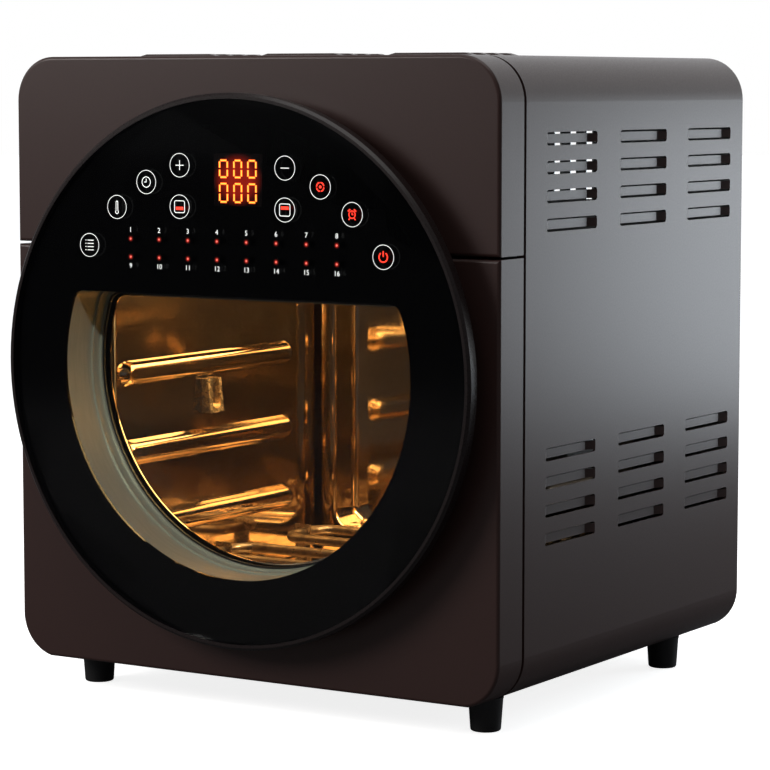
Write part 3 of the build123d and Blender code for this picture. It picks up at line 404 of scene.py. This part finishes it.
def display_finish(colours):
    """Dark display window with a red glow that fades towards its edges."""
    material = finish("display_window", (0.010, 0.002, 0.002), (0.006, 0.001, 0.001), (0.1, 0.15),
                      (300.0, 300.0, 300.0), bump=0.0, dust=0.0)
    tree = material.node_tree
    low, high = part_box("display_module")
    middle = (low + high) / 2
    half_width = (high.x - low.x) / 2
    half_tall = (high.z - low.z) / 2
    place = add(tree, "ShaderNodeTexCoord")
    scaled = add(tree, "ShaderNodeMapping", {
        "Vector": place.outputs["Object"],
        "Location": (-middle.x / half_width, 0.0, -middle.z / half_tall),
        "Scale": (1 / half_width, 0.0, 1 / half_tall)})
    away = add(tree, "ShaderNodeVectorMath", {0: scaled.outputs["Vector"]}, operation="LENGTH")
    fade = add(tree, "ShaderNodeMapRange", {
        "Value": away.outputs["Value"], "From Min": 0.45, "From Max": 1.08, "To Min": 1.0, "To Max": 0.0},
        interpolation_type="SMOOTHSTEP")
    red = mix_colour(tree, fade.outputs["Result"], (0.0, 0.0, 0.0), darker(colours.glow, 0.30))
    surface = tree.nodes["surface"]
    tree.links.new(red, surface.inputs["Emission Color"])
    surface.inputs["Emission Strength"].default_value = 1.0
    return material


def backlit_finish(name, colour, strength):
    """A backlit sign: printed light with a fine unevenness."""
    base = tuple(colour)
    material = finish(name, base, darker(base, 0.85), (0.3, 0.4), (900.0, 900.0, 900.0), bump=0.0, dust=0.0)
    tree = material.node_tree
    grain = next(n for n in tree.nodes if n.type == "GROUP" and n.node_tree.name == "oven_grain")
    light = mix_colour(tree, grain.outputs["Mask"], base, darker(base, 0.9))
    surface = tree.nodes["surface"]
    tree.links.new(light, surface.inputs["Emission Color"])
    surface.inputs["Emission Strength"].default_value = strength
    return material


def indicator_finish(colours):
    """An indicator: bright at its middle and fading to black glass, by the piece's own fade attribute."""
    material = finish("indicator", (0.003, 0.002, 0.002), (0.002, 0.001, 0.001), (0.06, 0.09),
                      (500.0, 500.0, 500.0), bump=0.0, dust=0.0)
    tree = material.node_tree
    fade = add(tree, "ShaderNodeAttribute", attribute_name="fade")
    core = add(tree, "ShaderNodeMapRange", {"Value": fade.outputs["Fac"], "From Min": 0.55, "From Max": 1.0})
    warm = mix_colour(tree, core.outputs["Result"], tuple(colours.glow), (1.0, 0.25, 0.20))
    power = add(tree, "ShaderNodeMath", {0: fade.outputs["Fac"], 1: 2.4}, operation="POWER")
    light = mix_colour(tree, power.outputs[0], (0.0, 0.0, 0.0), warm)
    surface = tree.nodes["surface"]
    tree.links.new(light, surface.inputs["Emission Color"])
    surface.inputs["Emission Strength"].default_value = 1.6
    return material


FINISH_OF_SLOT = {
    "paint": paint_finish,
    "zinc_steel": zinc_finish,
    "polished_steel": cavity_steel_finish,
    "satin_ring": ring_finish,
    "aluminium_sheet": aluminium_finish,
    "heater_tube": heater_finish,
    "front_glass": lambda _: glass_finish("front_pane", (0.006, 0.006, 0.008), clear=0.05),
    "clear_glass": lambda _: glass_finish("inner_pane", (0.05, 0.04, 0.03), clear=0.03),
    "lamp_glass": lamp_finish,
    "display_face": display_finish,
    "black_plastic": plastic_finish,
    "black_rubber": rubber_finish,
    "silicone": silicone_finish,
    "nylon": nylon_finish,
    "ferrite": ferrite_finish,
    "board": board_finish,
}

# Nodes whose finish differs from the rest of their slot
FINISH_OF_NODE = {
    # The disc's rim takes a darker copy of the casing paint: painted shade
    "disc_rim": rim_painted_shade_finish,
    "spit_rest": drawn_steel_finish,
    "spit_socket": drawn_steel_finish,
    "heater_clip_front": drawn_steel_finish,
    "heater_clip_rear": drawn_steel_finish,
}


# Surfaces


def grid_faces(rows, columns, closed=False):
    """Quads of a grid of rows by columns, numbered row by row; closed joins the last column to the first."""
    across = columns if closed else columns - 1
    row, column = np.meshgrid(np.arange(rows - 1), np.arange(across), indexing="ij")
    after = (column + 1) % columns
    here, below = row * columns, (row + 1) * columns
    quads = [here + column, here + after, below + after, below + column]
    return np.stack(quads, -1).reshape(-1, 4)


def new_piece(name, points, faces, material, body, slot, facing=None, fade=None):
    """A mesh piece that rides on a body. A closed piece turns its faces out, a sheet turns them to facing."""
    mesh = bpy.data.meshes.new(name)
    mesh.from_pydata(np.asarray(points, float).tolist(), [], [list(face) for face in faces])
    if fade is not None:
        mesh.attributes.new("fade", "FLOAT", "POINT").data.foreach_set("value", np.asarray(fade, np.float32))
    work = bmesh.new()
    work.from_mesh(mesh)
    bmesh.ops.remove_doubles(work, verts=work.verts, dist=MERGE_DISTANCE)
    bmesh.ops.dissolve_degenerate(work, edges=work.edges, dist=SHORTEST_EDGE)
    bmesh.ops.recalc_face_normals(work, faces=work.faces)
    if facing is not None:
        total = sum((f.normal * f.calc_area() for f in work.faces), Vector())
        if total.dot(Vector(facing)) < 0:
            bmesh.ops.reverse_faces(work, faces=work.faces)
    work.to_mesh(mesh)
    work.free()
    mesh.shade_smooth()
    mesh.set_sharp_from_angle(angle=SHARP_ANGLE)
    mesh.materials.append(material)
    piece = bpy.data.objects.new(name, mesh)
    bpy.context.scene.collection.objects.link(piece)
    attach(piece, body)
    return piece


def stack(parts):
    """Several (points, faces) as one."""
    points, faces, count = [], [], 0
    for part_points, part_faces in parts:
        points.append(part_points)
        faces += [[index + count for index in face] for face in part_faces]
        count += len(part_points)
    return np.concatenate(points), faces


def lathe(profile, centre, axis, steps):
    """A profile of (radius, height) about an axis: centre + radius (cos t, sin t) + height along the axis."""
    radius, height = np.asarray(profile, float).T
    turn = np.linspace(0, 2 * math.pi, steps, endpoint=False)
    first, second, along = {
        "Z": ((1, 0, 0), (0, 1, 0), (0, 0, 1)), "Y": ((1, 0, 0), (0, 0, 1), (0, -1, 0))}[axis]
    points = (np.asarray(centre, float)
              + radius[:, None, None] * (np.cos(turn)[None, :, None] * np.array(first)
                                         + np.sin(turn)[None, :, None] * np.array(second))
              + height[:, None, None] * np.array(along))
    return points.reshape(-1, 3), grid_faces(len(radius), steps, closed=True)


def tube(path, radius, steps=20):
    """A round tube about a path in a level plane: path + radius (cos t side + sin t up), with closed ends."""
    path = np.asarray(path, float)
    along = np.gradient(path, axis=0)
    along /= np.linalg.norm(along, axis=1)[:, None]
    side = np.stack([-along[:, 1], along[:, 0], np.zeros(len(path))], -1)
    turn = np.linspace(0, 2 * math.pi, steps, endpoint=False)
    points = (path[:, None] + radius * np.cos(turn)[None, :, None] * side[:, None]
              + radius * np.sin(turn)[None, :, None] * np.array((0, 0, 1)))
    faces = grid_faces(len(path), steps, closed=True).tolist()
    last = (len(path) - 1) * steps
    faces += [list(range(steps)), list(range(last, last + steps))]
    return points.reshape(-1, 3), faces


def rounded_path(corners, radius, arc_steps=14):
    """Straight runs through level corners, joined by arcs: centre + radius (cos t, sin t) at each turn."""
    corners = np.asarray(corners, float)
    pieces = [corners[:1]]
    for before, here, after in zip(corners[:-2], corners[1:-1], corners[2:]):
        back = (before - here) / np.linalg.norm(before - here)
        ahead = (after - here) / np.linalg.norm(after - here)
        blend = np.linspace(0, QUARTER_TURN, arc_steps)[:, None]
        centre = here + radius * (back + ahead)
        pieces.append(centre - radius * (ahead * np.cos(blend) + back * np.sin(blend)))
    pieces.append(corners[-1:])
    return np.concatenate(pieces)


def rounded_loop(half_width, half_tall, radius, corner_steps=12):
    """A rounded rectangle about the origin as points (x, z), with as many points for any size or radius."""
    turn = np.linspace(0, QUARTER_TURN, corner_steps)
    loops = []
    for quarter, (sx, sz) in enumerate(((1, 1), (-1, 1), (-1, -1), (1, -1))):
        angle = turn + quarter * QUARTER_TURN
        loops.append(np.stack([sx * (half_width - radius) + radius * np.cos(angle),
                               sz * (half_tall - radius) + radius * np.sin(angle)], -1))
    return np.concatenate(loops)


def bar(path, line, closed, front=GLASS_FRONT):
    """A flat line on the glass, one print deep: the path moved half a line to each side, corners mitred."""
    path = np.asarray(path, float)
    step = np.roll(path, -1, 0) - path
    if not closed:
        step[-1] = step[-2]
    along = step / np.linalg.norm(step, axis=1)[:, None]
    before = np.roll(along, 1, 0)
    if not closed:
        before[0] = along[0]
    both = along + before
    side = np.stack([-both[:, 1], both[:, 0]], -1) / (1 + (along * before).sum(1))[:, None]
    left, right = path + side * line / 2, path - side * line / 2
    outer = front - PRINT_DEPTH
    points = np.stack([np.insert(edge, 1, y, axis=1) for edge, y in (
        (left, outer), (right, outer), (right, front), (left, front))], 1)
    if closed:
        points = np.concatenate([points, points[:1]])
    faces = grid_faces(len(points), 4, closed=True).tolist()
    if not closed:
        last = (len(points) - 1) * 4
        faces += [[0, 1, 2, 3], [last, last + 1, last + 2, last + 3]]
    return points.reshape(-1, 3), faces


def arc(centre, radius, start=0.0, sweep=360.0, steps=48):
    """Points (x, z) along an arc about a centre, from a start angle through a sweep, in degrees."""
    whole = abs(sweep) >= 360.0
    turn = np.radians(np.linspace(start, start + sweep, steps, endpoint=not whole))
    return np.stack([centre[0] + radius * np.cos(turn), centre[1] + radius * np.sin(turn)], -1)


def spot(x, z):
    """A place on the disc in metres, from millimetres right of the middle and above the body's underside."""
    return np.array([x * MM, BASE + z * MM])


# Touch panel in millimetres, right of the disc's middle and above the body's underside
ICON_PLACES = {
    "plus": (-34.0, 305.5), "minus": (39.8, 304.9), "clock": (-58.2, 295.3), "thermometer": (-79.8, 280.2),
    "lower_heat": (-34.2, 281.3), "upper_heat": (39.7, 281.0), "spit": (63.9, 294.6), "alarm": (85.3, 279.4),
    "list": (-100.4, 257.1), "power": (106.0, 256.0),
}
INDICATOR_FIRST_X = -69.9
INDICATOR_PITCH = 20.7
INDICATOR_COLUMNS = 8
INDICATOR_ROWS = (261.7, 251.0)
NUMBER_ROWS = (266.9, 245.6)
DIGIT_COLUMNS = ((-8.5, -1.6), (1.6, 8.3), (11.4, 18.4))
DIGIT_ROWS = ((298.2, 309.4), (283.9, 295.9))
DIGIT_INSET = 0.75

# Shares of a segment's width: the gap at its ends and its core; the core's gap is a share of that gap
SEGMENT_GAP = 0.34
CORE_WIDTH = 0.5
CORE_GAP = 1.3


def white_signs(sizes):
    """Lines (path, closed) of the signs that glow white, sized by the icon's radius."""
    place = {name: spot(*at) for name, at in ICON_PLACES.items()}
    reach = sizes.icon_radius
    arm = 0.42 * reach
    lines = [([place[name] + (-arm, 0), place[name] + (arm, 0)], False) for name in ("minus", "plus")]
    lines.append(([place["plus"] + (0, -arm), place["plus"] + (0, arm)], False))
    lines.append((arc(place["clock"], 0.44 * reach), True))
    hands = [place["clock"] + (0, 0.28 * reach), place["clock"], place["clock"] + (-0.22 * reach, 0)]
    lines.append((hands, False))
    stem = place["thermometer"]
    lines.append((np.concatenate([
        arc(stem + (0, 0.42 * reach), 0.09 * reach, 0, 180, 9),
        arc(stem + (0, -0.42 * reach), 0.15 * reach, 130, 280, 17)]), True))
    for row in range(4):
        level = place["list"] + (0, (0.42 - 0.28 * row) * reach)
        lines.append(([level + (-0.22 * reach, 0), level + (0.45 * reach, 0)], False))
        lines.append(([level + (-0.45 * reach, 0), level + (-0.34 * reach, 0)], False))
    for name in ("lower_heat", "upper_heat"):
        lines.append((place[name] + rounded_loop(0.52 * reach, 0.50 * reach, 0.14 * reach, 5), True))
    return lines


def red_signs(sizes):
    """Lines (path, closed, width) of the signs that glow red, sized by the icon's radius."""
    place = {name: spot(*at) for name, at in ICON_PLACES.items()}
    reach = sizes.icon_radius
    line = sizes.sign_line
    lines = []
    for name, level in (("lower_heat", -0.14), ("upper_heat", 0.16)):
        middle = place[name] + (0, level * reach)
        lines.append(([middle + (-0.38 * reach, 0), middle + (0.38 * reach, 0)], False, 0.26 * reach))
    for start in (12, 102, 192, 282):
        lines.append((arc(place["spit"], 0.36 * reach, start, 72, 12), False, 0.11 * reach))
    lines.append((arc(place["spit"], 0.07 * reach, steps=16), True, 0.11 * reach))
    alarm, power = place["alarm"], place["power"]
    lines.append((arc(alarm, 0.30 * reach, steps=32), True, line * 1.1))
    for side in (-reach, reach):
        bell = [alarm + (0.18 * side, 0.44 * reach), alarm + (0.40 * side, 0.26 * reach)]
        leg = [alarm + (0.20 * side, -0.28 * reach), alarm + (0.32 * side, -0.44 * reach)]
        lines += [(bell, False, line * 1.5), (leg, False, line * 1.2)]
    lines.append(([alarm + (0, 0.18 * reach), alarm, alarm + (0.13 * reach, 0)], False, line))
    lines.append((arc(power, 0.40 * reach, 125, 290, 40), False, line * 1.5))
    lines.append(([power + (0, 0.04 * reach), power + (0, 0.50 * reach)], False, line * 1.5))
    return lines


def digit_lines(shrink):
    """The six lit segments of each zero on the display, shortened at both ends by shrink."""
    lines = []
    for left, right in DIGIT_COLUMNS:
        for low, high in DIGIT_ROWS:
            x0, z0 = spot(left + DIGIT_INSET, low + DIGIT_INSET)
            x1, z1 = spot(right - DIGIT_INSET, high - DIGIT_INSET)
            middle = (z0 + z1) / 2
            for z in (z0, z1):
                lines.append([(x0 + shrink, z), (x1 - shrink, z)])
            for x in (x0, x1):
                lines.append([(x, z0 + shrink), (x, middle - shrink)])
                lines.append([(x, middle + shrink), (x, z1 - shrink)])
    return lines


# Operators


class OvenStep(bpy.types.Operator):
    """Shared base of the oven's operators."""

    bl_options = {"REGISTER", "UNDO"}


class OVEN_OT_finishes(OvenStep):
    """Give every CAD node the finish of its material slot"""

    bl_idname = "oven.finishes"
    bl_label = "Finishes"

    def execute(self, context):
        colours = context.scene.oven_colours
        made = {}
        for row in frame["record"]["subparts"]:
            node = frame["nodes"][row["node"]]
            maker = FINISH_OF_NODE.get(row["node"], FINISH_OF_SLOT[row["material_slot"]])
            if maker not in made:
                made[maker] = maker(colours)
            material = made[maker]
            for place in node.material_slots:
                place.material = material
            if not node.material_slots:
                node.data.materials.append(material)
        return {"FINISHED"}


class OVEN_OT_panel(OvenStep):
    """Draw the rings, signs, numbers, indicators and digits of the touch disc"""

    bl_idname = "oven.panel"
    bl_label = "Touch panel"

    def execute(self, context):
        sizes, colours = context.scene.oven_sizes, context.scene.oven_colours
        white = backlit_finish("white_light", colours.signs, strength=0.9)
        red = backlit_finish("red_light", colours.glow, strength=1.7)
        rings = [bar(arc(spot(*at), sizes.icon_radius), sizes.ring_line, True) for at in ICON_PLACES.values()]
        new_piece("icon_rings", *stack(rings), white, "door", "front_glass")
        signs = [bar(path, sizes.sign_line, closed) for path, closed in white_signs(sizes)]
        new_piece("white_signs", *stack(signs), white, "door", "front_glass")
        glowing = [bar(path, width, closed) for path, closed, width in red_signs(sizes)]
        new_piece("red_signs", *stack(glowing), red, "door", "front_glass")
        self.indicators(sizes, colours)
        self.numbers(sizes, white)
        self.digits(sizes, colours)
        return {"FINISHED"}

    def indicators(self, sizes, colours):
        """Sixteen flat lenses whose light fades from the middle to the edge."""
        share = np.array([0.0, 0.18, 0.36, 0.54, 0.72, 0.88, 1.0, 1.0, 0.0])
        height = PRINT_DEPTH * np.array([1, 1, 1, 1, 1, 1, 1, 0, 0])
        fade = np.array([1.0, 0.9, 0.66, 0.42, 0.22, 0.08, 0.0, 0.0, 0.0])
        steps = 24
        profile = np.stack([share * sizes.led_radius, height], -1)
        parts = []
        for column in range(INDICATOR_COLUMNS):
            for row in INDICATOR_ROWS:
                x, z = spot(INDICATOR_FIRST_X + column * INDICATOR_PITCH, row)
                parts.append(lathe(profile, (x, GLASS_FRONT, z), "Y", steps))
        points, faces = stack(parts)
        new_piece("indicators", points, faces, indicator_finish(colours), "door", "front_glass",
                  fade=np.tile(np.repeat(fade, steps), len(parts)))

    def numbers(self, sizes, material):
        """Plain programme numbers in the labels' places, made from text and turned into one mesh."""
        parts = []
        for row, level in enumerate(NUMBER_ROWS):
            for column in range(INDICATOR_COLUMNS):
                curve = bpy.data.curves.new("number", "FONT")
                curve.body = str(1 + column + row * INDICATOR_COLUMNS)
                curve.size = sizes.number_height
                curve.align_x = "CENTER"
                curve.align_y = "CENTER"
                curve.extrude = PRINT_DEPTH / 2
                curve.resolution_u = 3
                carrier = bpy.data.objects.new("number", curve)
                bpy.context.scene.collection.objects.link(carrier)
                graph = bpy.context.evaluated_depsgraph_get()
                mesh = bpy.data.meshes.new_from_object(carrier.evaluated_get(graph))
                flat = np.zeros(len(mesh.vertices) * 3)
                mesh.vertices.foreach_get("co", flat)
                across, up, out = flat.reshape(-1, 3).T
                x, z = spot(INDICATOR_FIRST_X + column * INDICATOR_PITCH, level)
                placed = np.stack([across + x, GLASS_FRONT - PRINT_DEPTH / 2 - out, up + z], -1)
                parts.append((placed, [list(face.vertices) for face in mesh.polygons]))
                bpy.data.objects.remove(carrier)
                bpy.data.curves.remove(curve)
                bpy.data.meshes.remove(mesh)
        new_piece("programme_numbers", *stack(parts), material, "door", "front_glass")

    def digits(self, sizes, colours):
        """The display's zeros: a red-orange edge with a yellow core on each segment."""
        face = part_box("display_module")[0].y
        gap = sizes.segment_line * SEGMENT_GAP
        wide = [bar(path, sizes.segment_line, False, face) for path in digit_lines(gap)]
        core = [bar(path, sizes.segment_line * CORE_WIDTH, False, face - PRINT_DEPTH)
                for path in digit_lines(gap * CORE_GAP)]
        edge_light = backlit_finish("segment_edge", (1.0, 0.10, 0.01), strength=1.5)
        core_light = backlit_finish("segment_core", colours.digits, strength=1.9)
        new_piece("segment_edges", *stack(wide), edge_light, "door", "display_face")
        new_piece("segment_cores", *stack(core), core_light, "door", "display_face")


class OVEN_OT_cavity(OvenStep):
    """Build the cavity's left wall with its pressed rails and the rear wall with its rounded recess"""

    bl_idname = "oven.cavity"
    bl_label = "Cavity walls"

    def execute(self, context):
        sizes, colours = context.scene.oven_sizes, context.scene.oven_colours
        steel = cavity_steel_finish(colours)
        self.left_wall(sizes, steel)
        self.rear_wall(sizes, steel)
        return {"FINISHED"}

    def left_wall(self, sizes, steel):
        """Wall x = face + reach sqrt(1 - t^2.4), where t goes from 0 at a rail's crown to 1 at its foot."""
        low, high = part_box("liner_left")
        face = low.x + LINER
        rows, columns = LEFT_WALL_GRID
        depth, height = np.meshgrid(
            np.linspace(low.y, high.y, rows), np.linspace(low.z, high.z, columns), indexing="ij")
        nearest = np.clip(depth, low.y + RAIL_START + sizes.rail_half, low.y + RAIL_END - sizes.rail_half)
        bulge = np.zeros_like(depth)
        for level in RAIL_LEVELS:
            distance = np.hypot(depth - nearest, height - (BASE + level))
            across = np.clip((distance - sizes.rail_crown) / (sizes.rail_half - sizes.rail_crown), 0, 1)
            bulge = np.maximum(bulge, np.sqrt(1 - across ** RAIL_ROUNDNESS))
        points = np.stack([face + (high.x - face) * bulge, depth, height], -1).reshape(-1, 3)
        wall = new_piece("cavity_left_wall", points, grid_faces(rows, columns), steel, "root",
                         "polished_steel", facing=(1, 0, 0))
        thicken(wall, LINER)
        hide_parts("liner_left")

    def rear_wall(self, sizes, steel):
        """Rounded loops carried from the flat rim over a bend, down the recess and across its floor."""
        low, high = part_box("liner_rear")
        deep = high.y - low.y - LINER
        middle_x, middle_z = (low.x + high.x) / 2, (low.z + high.z) / 2
        half_x, half_z = (high.x - low.x) / 2, (high.z - low.z) / 2
        recess_x, recess_z = half_x - RECESS_SIDE, half_z - RECESS_FOOT
        bend = sizes.edge_bend
        rings = [(half_x, half_z, WALL_CORNER, 0.0)]
        for angle in np.linspace(0, QUARTER_TURN, BEND_RINGS):
            out = bend * (1 - math.sin(angle))
            rings.append((recess_x + out, recess_z + out, RECESS_CORNER + out, bend * (1 - math.cos(angle))))
        for angle in np.linspace(0, QUARTER_TURN, BEND_RINGS):
            inside = RECESS_BEND * (1 - math.cos(angle))
            rings.append((recess_x - inside, recess_z - inside, RECESS_CORNER - inside,
                          deep - RECESS_BEND + RECESS_BEND * math.sin(angle)))
        rings.append((recess_x * 0.5, recess_z * 0.5, RECESS_CORNER * 0.3, deep))
        loops = [np.insert(rounded_loop(a, b, r), 1, low.y + d, axis=1) for a, b, r, d in rings]
        points = np.stack(loops) + np.array((middle_x, 0, middle_z))
        count = points.shape[1]
        faces = grid_faces(len(rings), count, closed=True).tolist()
        last = (len(rings) - 1) * count
        faces.append(list(range(last, last + count)))
        wall = new_piece("cavity_rear_wall", points.reshape(-1, 3), faces, steel, "root", "polished_steel",
                         facing=(0, -1, 0))
        thicken(wall, LINER)
        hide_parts("liner_rear")


def thicken(piece, thickness):
    """Give a sheet its thickness on the side away from its faces."""
    wall = piece.modifiers.new("thickness", "SOLIDIFY")
    wall.thickness = thickness
    wall.offset = -1


class OVEN_OT_heater(OvenStep):
    """Build the floor heater as a smooth serpentine tube"""

    bl_idname = "oven.heater"
    bl_label = "Floor heater"

    def execute(self, context):
        low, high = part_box("floor_heater")
        radius = (high.z - low.z) / 2
        level = (high.z + low.z) / 2
        left = low.x + radius
        right = -left
        rows = np.linspace(low.y + radius, high.y - radius, HEATER_ROWS)
        corners = [(high.x, rows[0]), (left, rows[0]), (left, rows[1]), (right, rows[1]),
                   (right, rows[2]), (left, rows[2]), (left, rows[3]), (high.x, rows[3])]
        path = np.insert(rounded_path(corners, HEATER_BEND), 2, level, axis=1)
        piece = new_piece("floor_heater_tube", *tube(path, radius), heater_finish(None), "root",
                          "heater_tube")
        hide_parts("floor_heater")
        return {"FINISHED"}


class OVEN_OT_feet(OvenStep):
    """Turn the four tapered feet with their rounded lower edges"""

    bl_idname = "oven.feet"
    bl_label = "Feet"

    def execute(self, context):
        rubber = rubber_finish(None)
        for place in ("front_left", "front_right", "rear_left", "rear_right"):
            low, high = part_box(f"foot_{place}")
            wide = (high.x - low.x) / 2
            tall = high.z - low.z
            flat = wide - FOOT_TAPER - FOOT_EDGE
            profile = [(0.0, 0.0)]
            profile += [(flat + FOOT_EDGE * math.sin(a), FOOT_EDGE - FOOT_EDGE * math.cos(a))
                        for a in np.linspace(0, QUARTER_TURN, BEND_RINGS)]
            profile += [(wide - FOOT_COLLAR_STEP, tall - FOOT_NECK), (wide, tall - FOOT_COLLAR),
                        (wide, tall), (0.0, tall)]
            centre = ((low.x + high.x) / 2, (low.y + high.y) / 2, low.z)
            piece = new_piece(f"rubber_foot_{place}", *lathe(profile, centre, "Z", steps=48), rubber,
                              "root", "black_rubber")
            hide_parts(f"foot_{place}")
        return {"FINISHED"}


class OVEN_OT_stage(OvenStep):
    """Set the pale floor, the studio lights, the cavity lamp's light and the photograph's camera"""

    bl_idname = "oven.stage"
    bl_label = "Stage"

    def execute(self, context):
        self.floor()
        self.world(context.scene)
        self.lights(context.scene.oven_colours)
        self.camera(context.scene)
        return {"FINISHED"}

    def floor(self):
        """A round pale floor, brighter to the camera than in reflections."""
        points, faces = lathe([(radius, 0.0) for radius in FLOOR_RADII], (0, 0, 0), "Z", steps=64)
        mesh = bpy.data.meshes.new("floor")
        mesh.from_pydata(points.tolist(), [], faces.tolist())
        material = finish("pale_floor", (0.86, 0.86, 0.86), (0.84, 0.84, 0.84), (0.85, 0.95),
                          (3.0, 3.0, 3.0), bump=0.0, dust=0.0)
        tree = material.node_tree
        surface = tree.nodes["surface"]
        seen = add(tree, "ShaderNodeLightPath")
        paper = surface.inputs["Base Color"].links[0].from_socket
        tree.links.new(mix_colour(tree, seen.outputs["Is Camera Ray"], (0.11, 0.11, 0.115), paper),
                       surface.inputs["Base Color"])
        tree.links.new(mix_colour(tree, seen.outputs["Is Camera Ray"], (0.0, 0.0, 0.0), (0.84, 0.84, 0.84)),
                       surface.inputs["Emission Color"])
        surface.inputs["Emission Strength"].default_value = 1.0
        mesh.materials.append(material)
        floor = bpy.data.objects.new("floor", mesh)
        bpy.context.scene.collection.objects.link(floor)

    def world(self, scene):
        """White where the camera sees it; for the object, bright behind and dim in front."""
        world = bpy.data.worlds.new("studio")
        scene.world = world
        world.use_nodes = True
        tree = world.node_tree
        tree.nodes.clear()
        place = add(tree, "ShaderNodeTexCoord")
        parts = add(tree, "ShaderNodeSeparateXYZ", {"Vector": place.outputs["Generated"]})
        behind = add(tree, "ShaderNodeMapRange", {
            "Value": parts.outputs["Y"], "From Min": 0.45, "From Max": 1.0, "To Min": 0.17, "To Max": 1.4},
            interpolation_type="SMOOTHSTEP")
        seen = add(tree, "ShaderNodeLightPath")
        dim = add(tree, "ShaderNodeBackground", {
            "Color": (0.96, 0.98, 1.0, 1.0), "Strength": behind.outputs["Result"]})
        white = add(tree, "ShaderNodeBackground", {"Color": (1.0, 1.0, 1.0, 1.0), "Strength": 1.0})
        both = add(tree, "ShaderNodeMixShader", {
            0: seen.outputs["Is Camera Ray"], 1: dim.outputs["Background"], 2: white.outputs["Background"]})
        add(tree, "ShaderNodeOutputWorld", {"Surface": both.outputs["Shader"]})

    def lights(self, colours):
        """Soft boxes above, in front and at the right, the ring's spot and the cavity's two lights.

        Each row gives name, kind, angle in degrees, place, target, size, power and colour.
        """
        low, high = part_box("lamp_lens")
        lamp = (low.x - LAMP_GAP, (low.y + high.y) / 2, (low.z + high.z) / 2)
        across = (lamp[0] - 1.0, lamp[1] + 0.15, lamp[2] - 0.35)
        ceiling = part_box("liner_ceiling")[0].z - GLOW_GAP
        warm = tuple(colours.lamp)
        rows = (
            ("top_box", "AREA", 180, (0.2, -0.3, 2.2), (0.0, 0.0, 0.2), 1.8, 21.0, (1.0, 0.99, 0.97)),
            ("front_box", "AREA", 180, (-1.15, -1.35, 1.0), (0.0, -0.1, 0.2), 0.8, 20.0, (1.0, 0.97, 0.95)),
            ("ring_key", "SPOT", 9, (0.95, -1.35, 1.35), (-0.075, -0.15, 0.12), 0.03, 640.0,
             (1.0, 1.0, 0.97)),
            ("side_box", "AREA", 180, (0.40, 0.60, 0.235), (0.17, 0.12, 0.24), 0.26, 1.2, (0.86, 0.93, 1.0)),
            ("ceiling_glow", "AREA", 180, (0.0, 0.0, ceiling), (0.0, 0.0, 0.0), 0.19, 1.1, warm),
            ("cavity_lamp", "SPOT", 92, lamp, across, 0.010, 5.0, warm),
        )
        for name, kind, angle, place, target, size, power, colour in rows:
            data = bpy.data.lights.new(name, kind)
            if kind == "AREA":
                data.shape = "SQUARE"
                data.size = size
                data.spread = math.radians(angle)
            else:
                data.shadow_soft_size = size
                data.spot_size = math.radians(angle)
                data.spot_blend = 0.6
            data.energy = power
            data.color = colour
            light = bpy.data.objects.new(name, data)
            light.location = place
            light.rotation_euler = (Vector(target) - Vector(place)).to_track_quat("-Z", "Y").to_euler()
            light.visible_camera = False
            bpy.context.scene.collection.objects.link(light)
            if name in RING_LINK:
                ring = bpy.data.collections.new(f"{name}_ring")
                ring.objects.link(frame["nodes"]["porthole_ring"])
                ring.collection_objects[0].light_linking.link_state = RING_LINK[name]
                light.light_linking.receiver_collection = ring

    def camera(self, scene):
        """The photograph's camera, looking back along its azimuth and elevation."""
        data = bpy.data.cameras.new("photo_camera")
        data.lens = CAMERA_LENS
        data.sensor_width = SENSOR_WIDTH
        camera = bpy.data.objects.new("photo_camera", data)
        level = math.cos(CAMERA_ELEVATION)
        back = Vector((
            math.sin(CAMERA_AZIMUTH) * level, -math.cos(CAMERA_AZIMUTH) * level, math.sin(CAMERA_ELEVATION)))
        camera.location = CAMERA_PLACE
        camera.rotation_mode = "QUATERNION"
        camera.rotation_quaternion = (-back).to_track_quat("-Z", "Y")
        scene.collection.objects.link(camera)
        scene.camera = camera
        scene.view_settings.view_transform = "Standard"


class OVEN_PT_sidebar(bpy.types.Panel):
    """The oven's steps and its sizes and colours"""

    bl_label = "Air fryer oven"
    bl_space_type = "VIEW_3D"
    bl_region_type = "UI"
    bl_category = "Oven"

    def draw(self, context):
        for step in STEPS:
            self.layout.operator(step.bl_idname)
        for group in (context.scene.oven_sizes, context.scene.oven_colours):
            for key in group.bl_rna.properties.keys():
                if key not in ("rna_type", "name"):
                    self.layout.prop(group, key)


STEPS = (OVEN_OT_finishes, OVEN_OT_panel, OVEN_OT_cavity, OVEN_OT_heater, OVEN_OT_feet, OVEN_OT_stage)
CLASSES = (OvenSizes, OvenColours, *STEPS, OVEN_PT_sidebar)


def register():
    """Register the classes and hang the two groups of properties on the scene."""
    for each in CLASSES:
        bpy.utils.register_class(each)
    bpy.types.Scene.oven_sizes = bpy.props.PointerProperty(type=OvenSizes)
    bpy.types.Scene.oven_colours = bpy.props.PointerProperty(type=OvenColours)


def unregister():
    """Undo register."""
    del bpy.types.Scene.oven_colours
    del bpy.types.Scene.oven_sizes
    for each in reversed(CLASSES):
        bpy.utils.unregister_class(each)


def main():
    """Run every step in order."""
    register()
    bpy.ops.oven.finishes()
    bpy.ops.oven.panel()
    bpy.ops.oven.cavity()
    bpy.ops.oven.heater()
    bpy.ops.oven.feet()
    bpy.ops.oven.stage()


if __name__ == "__main__":
    main()
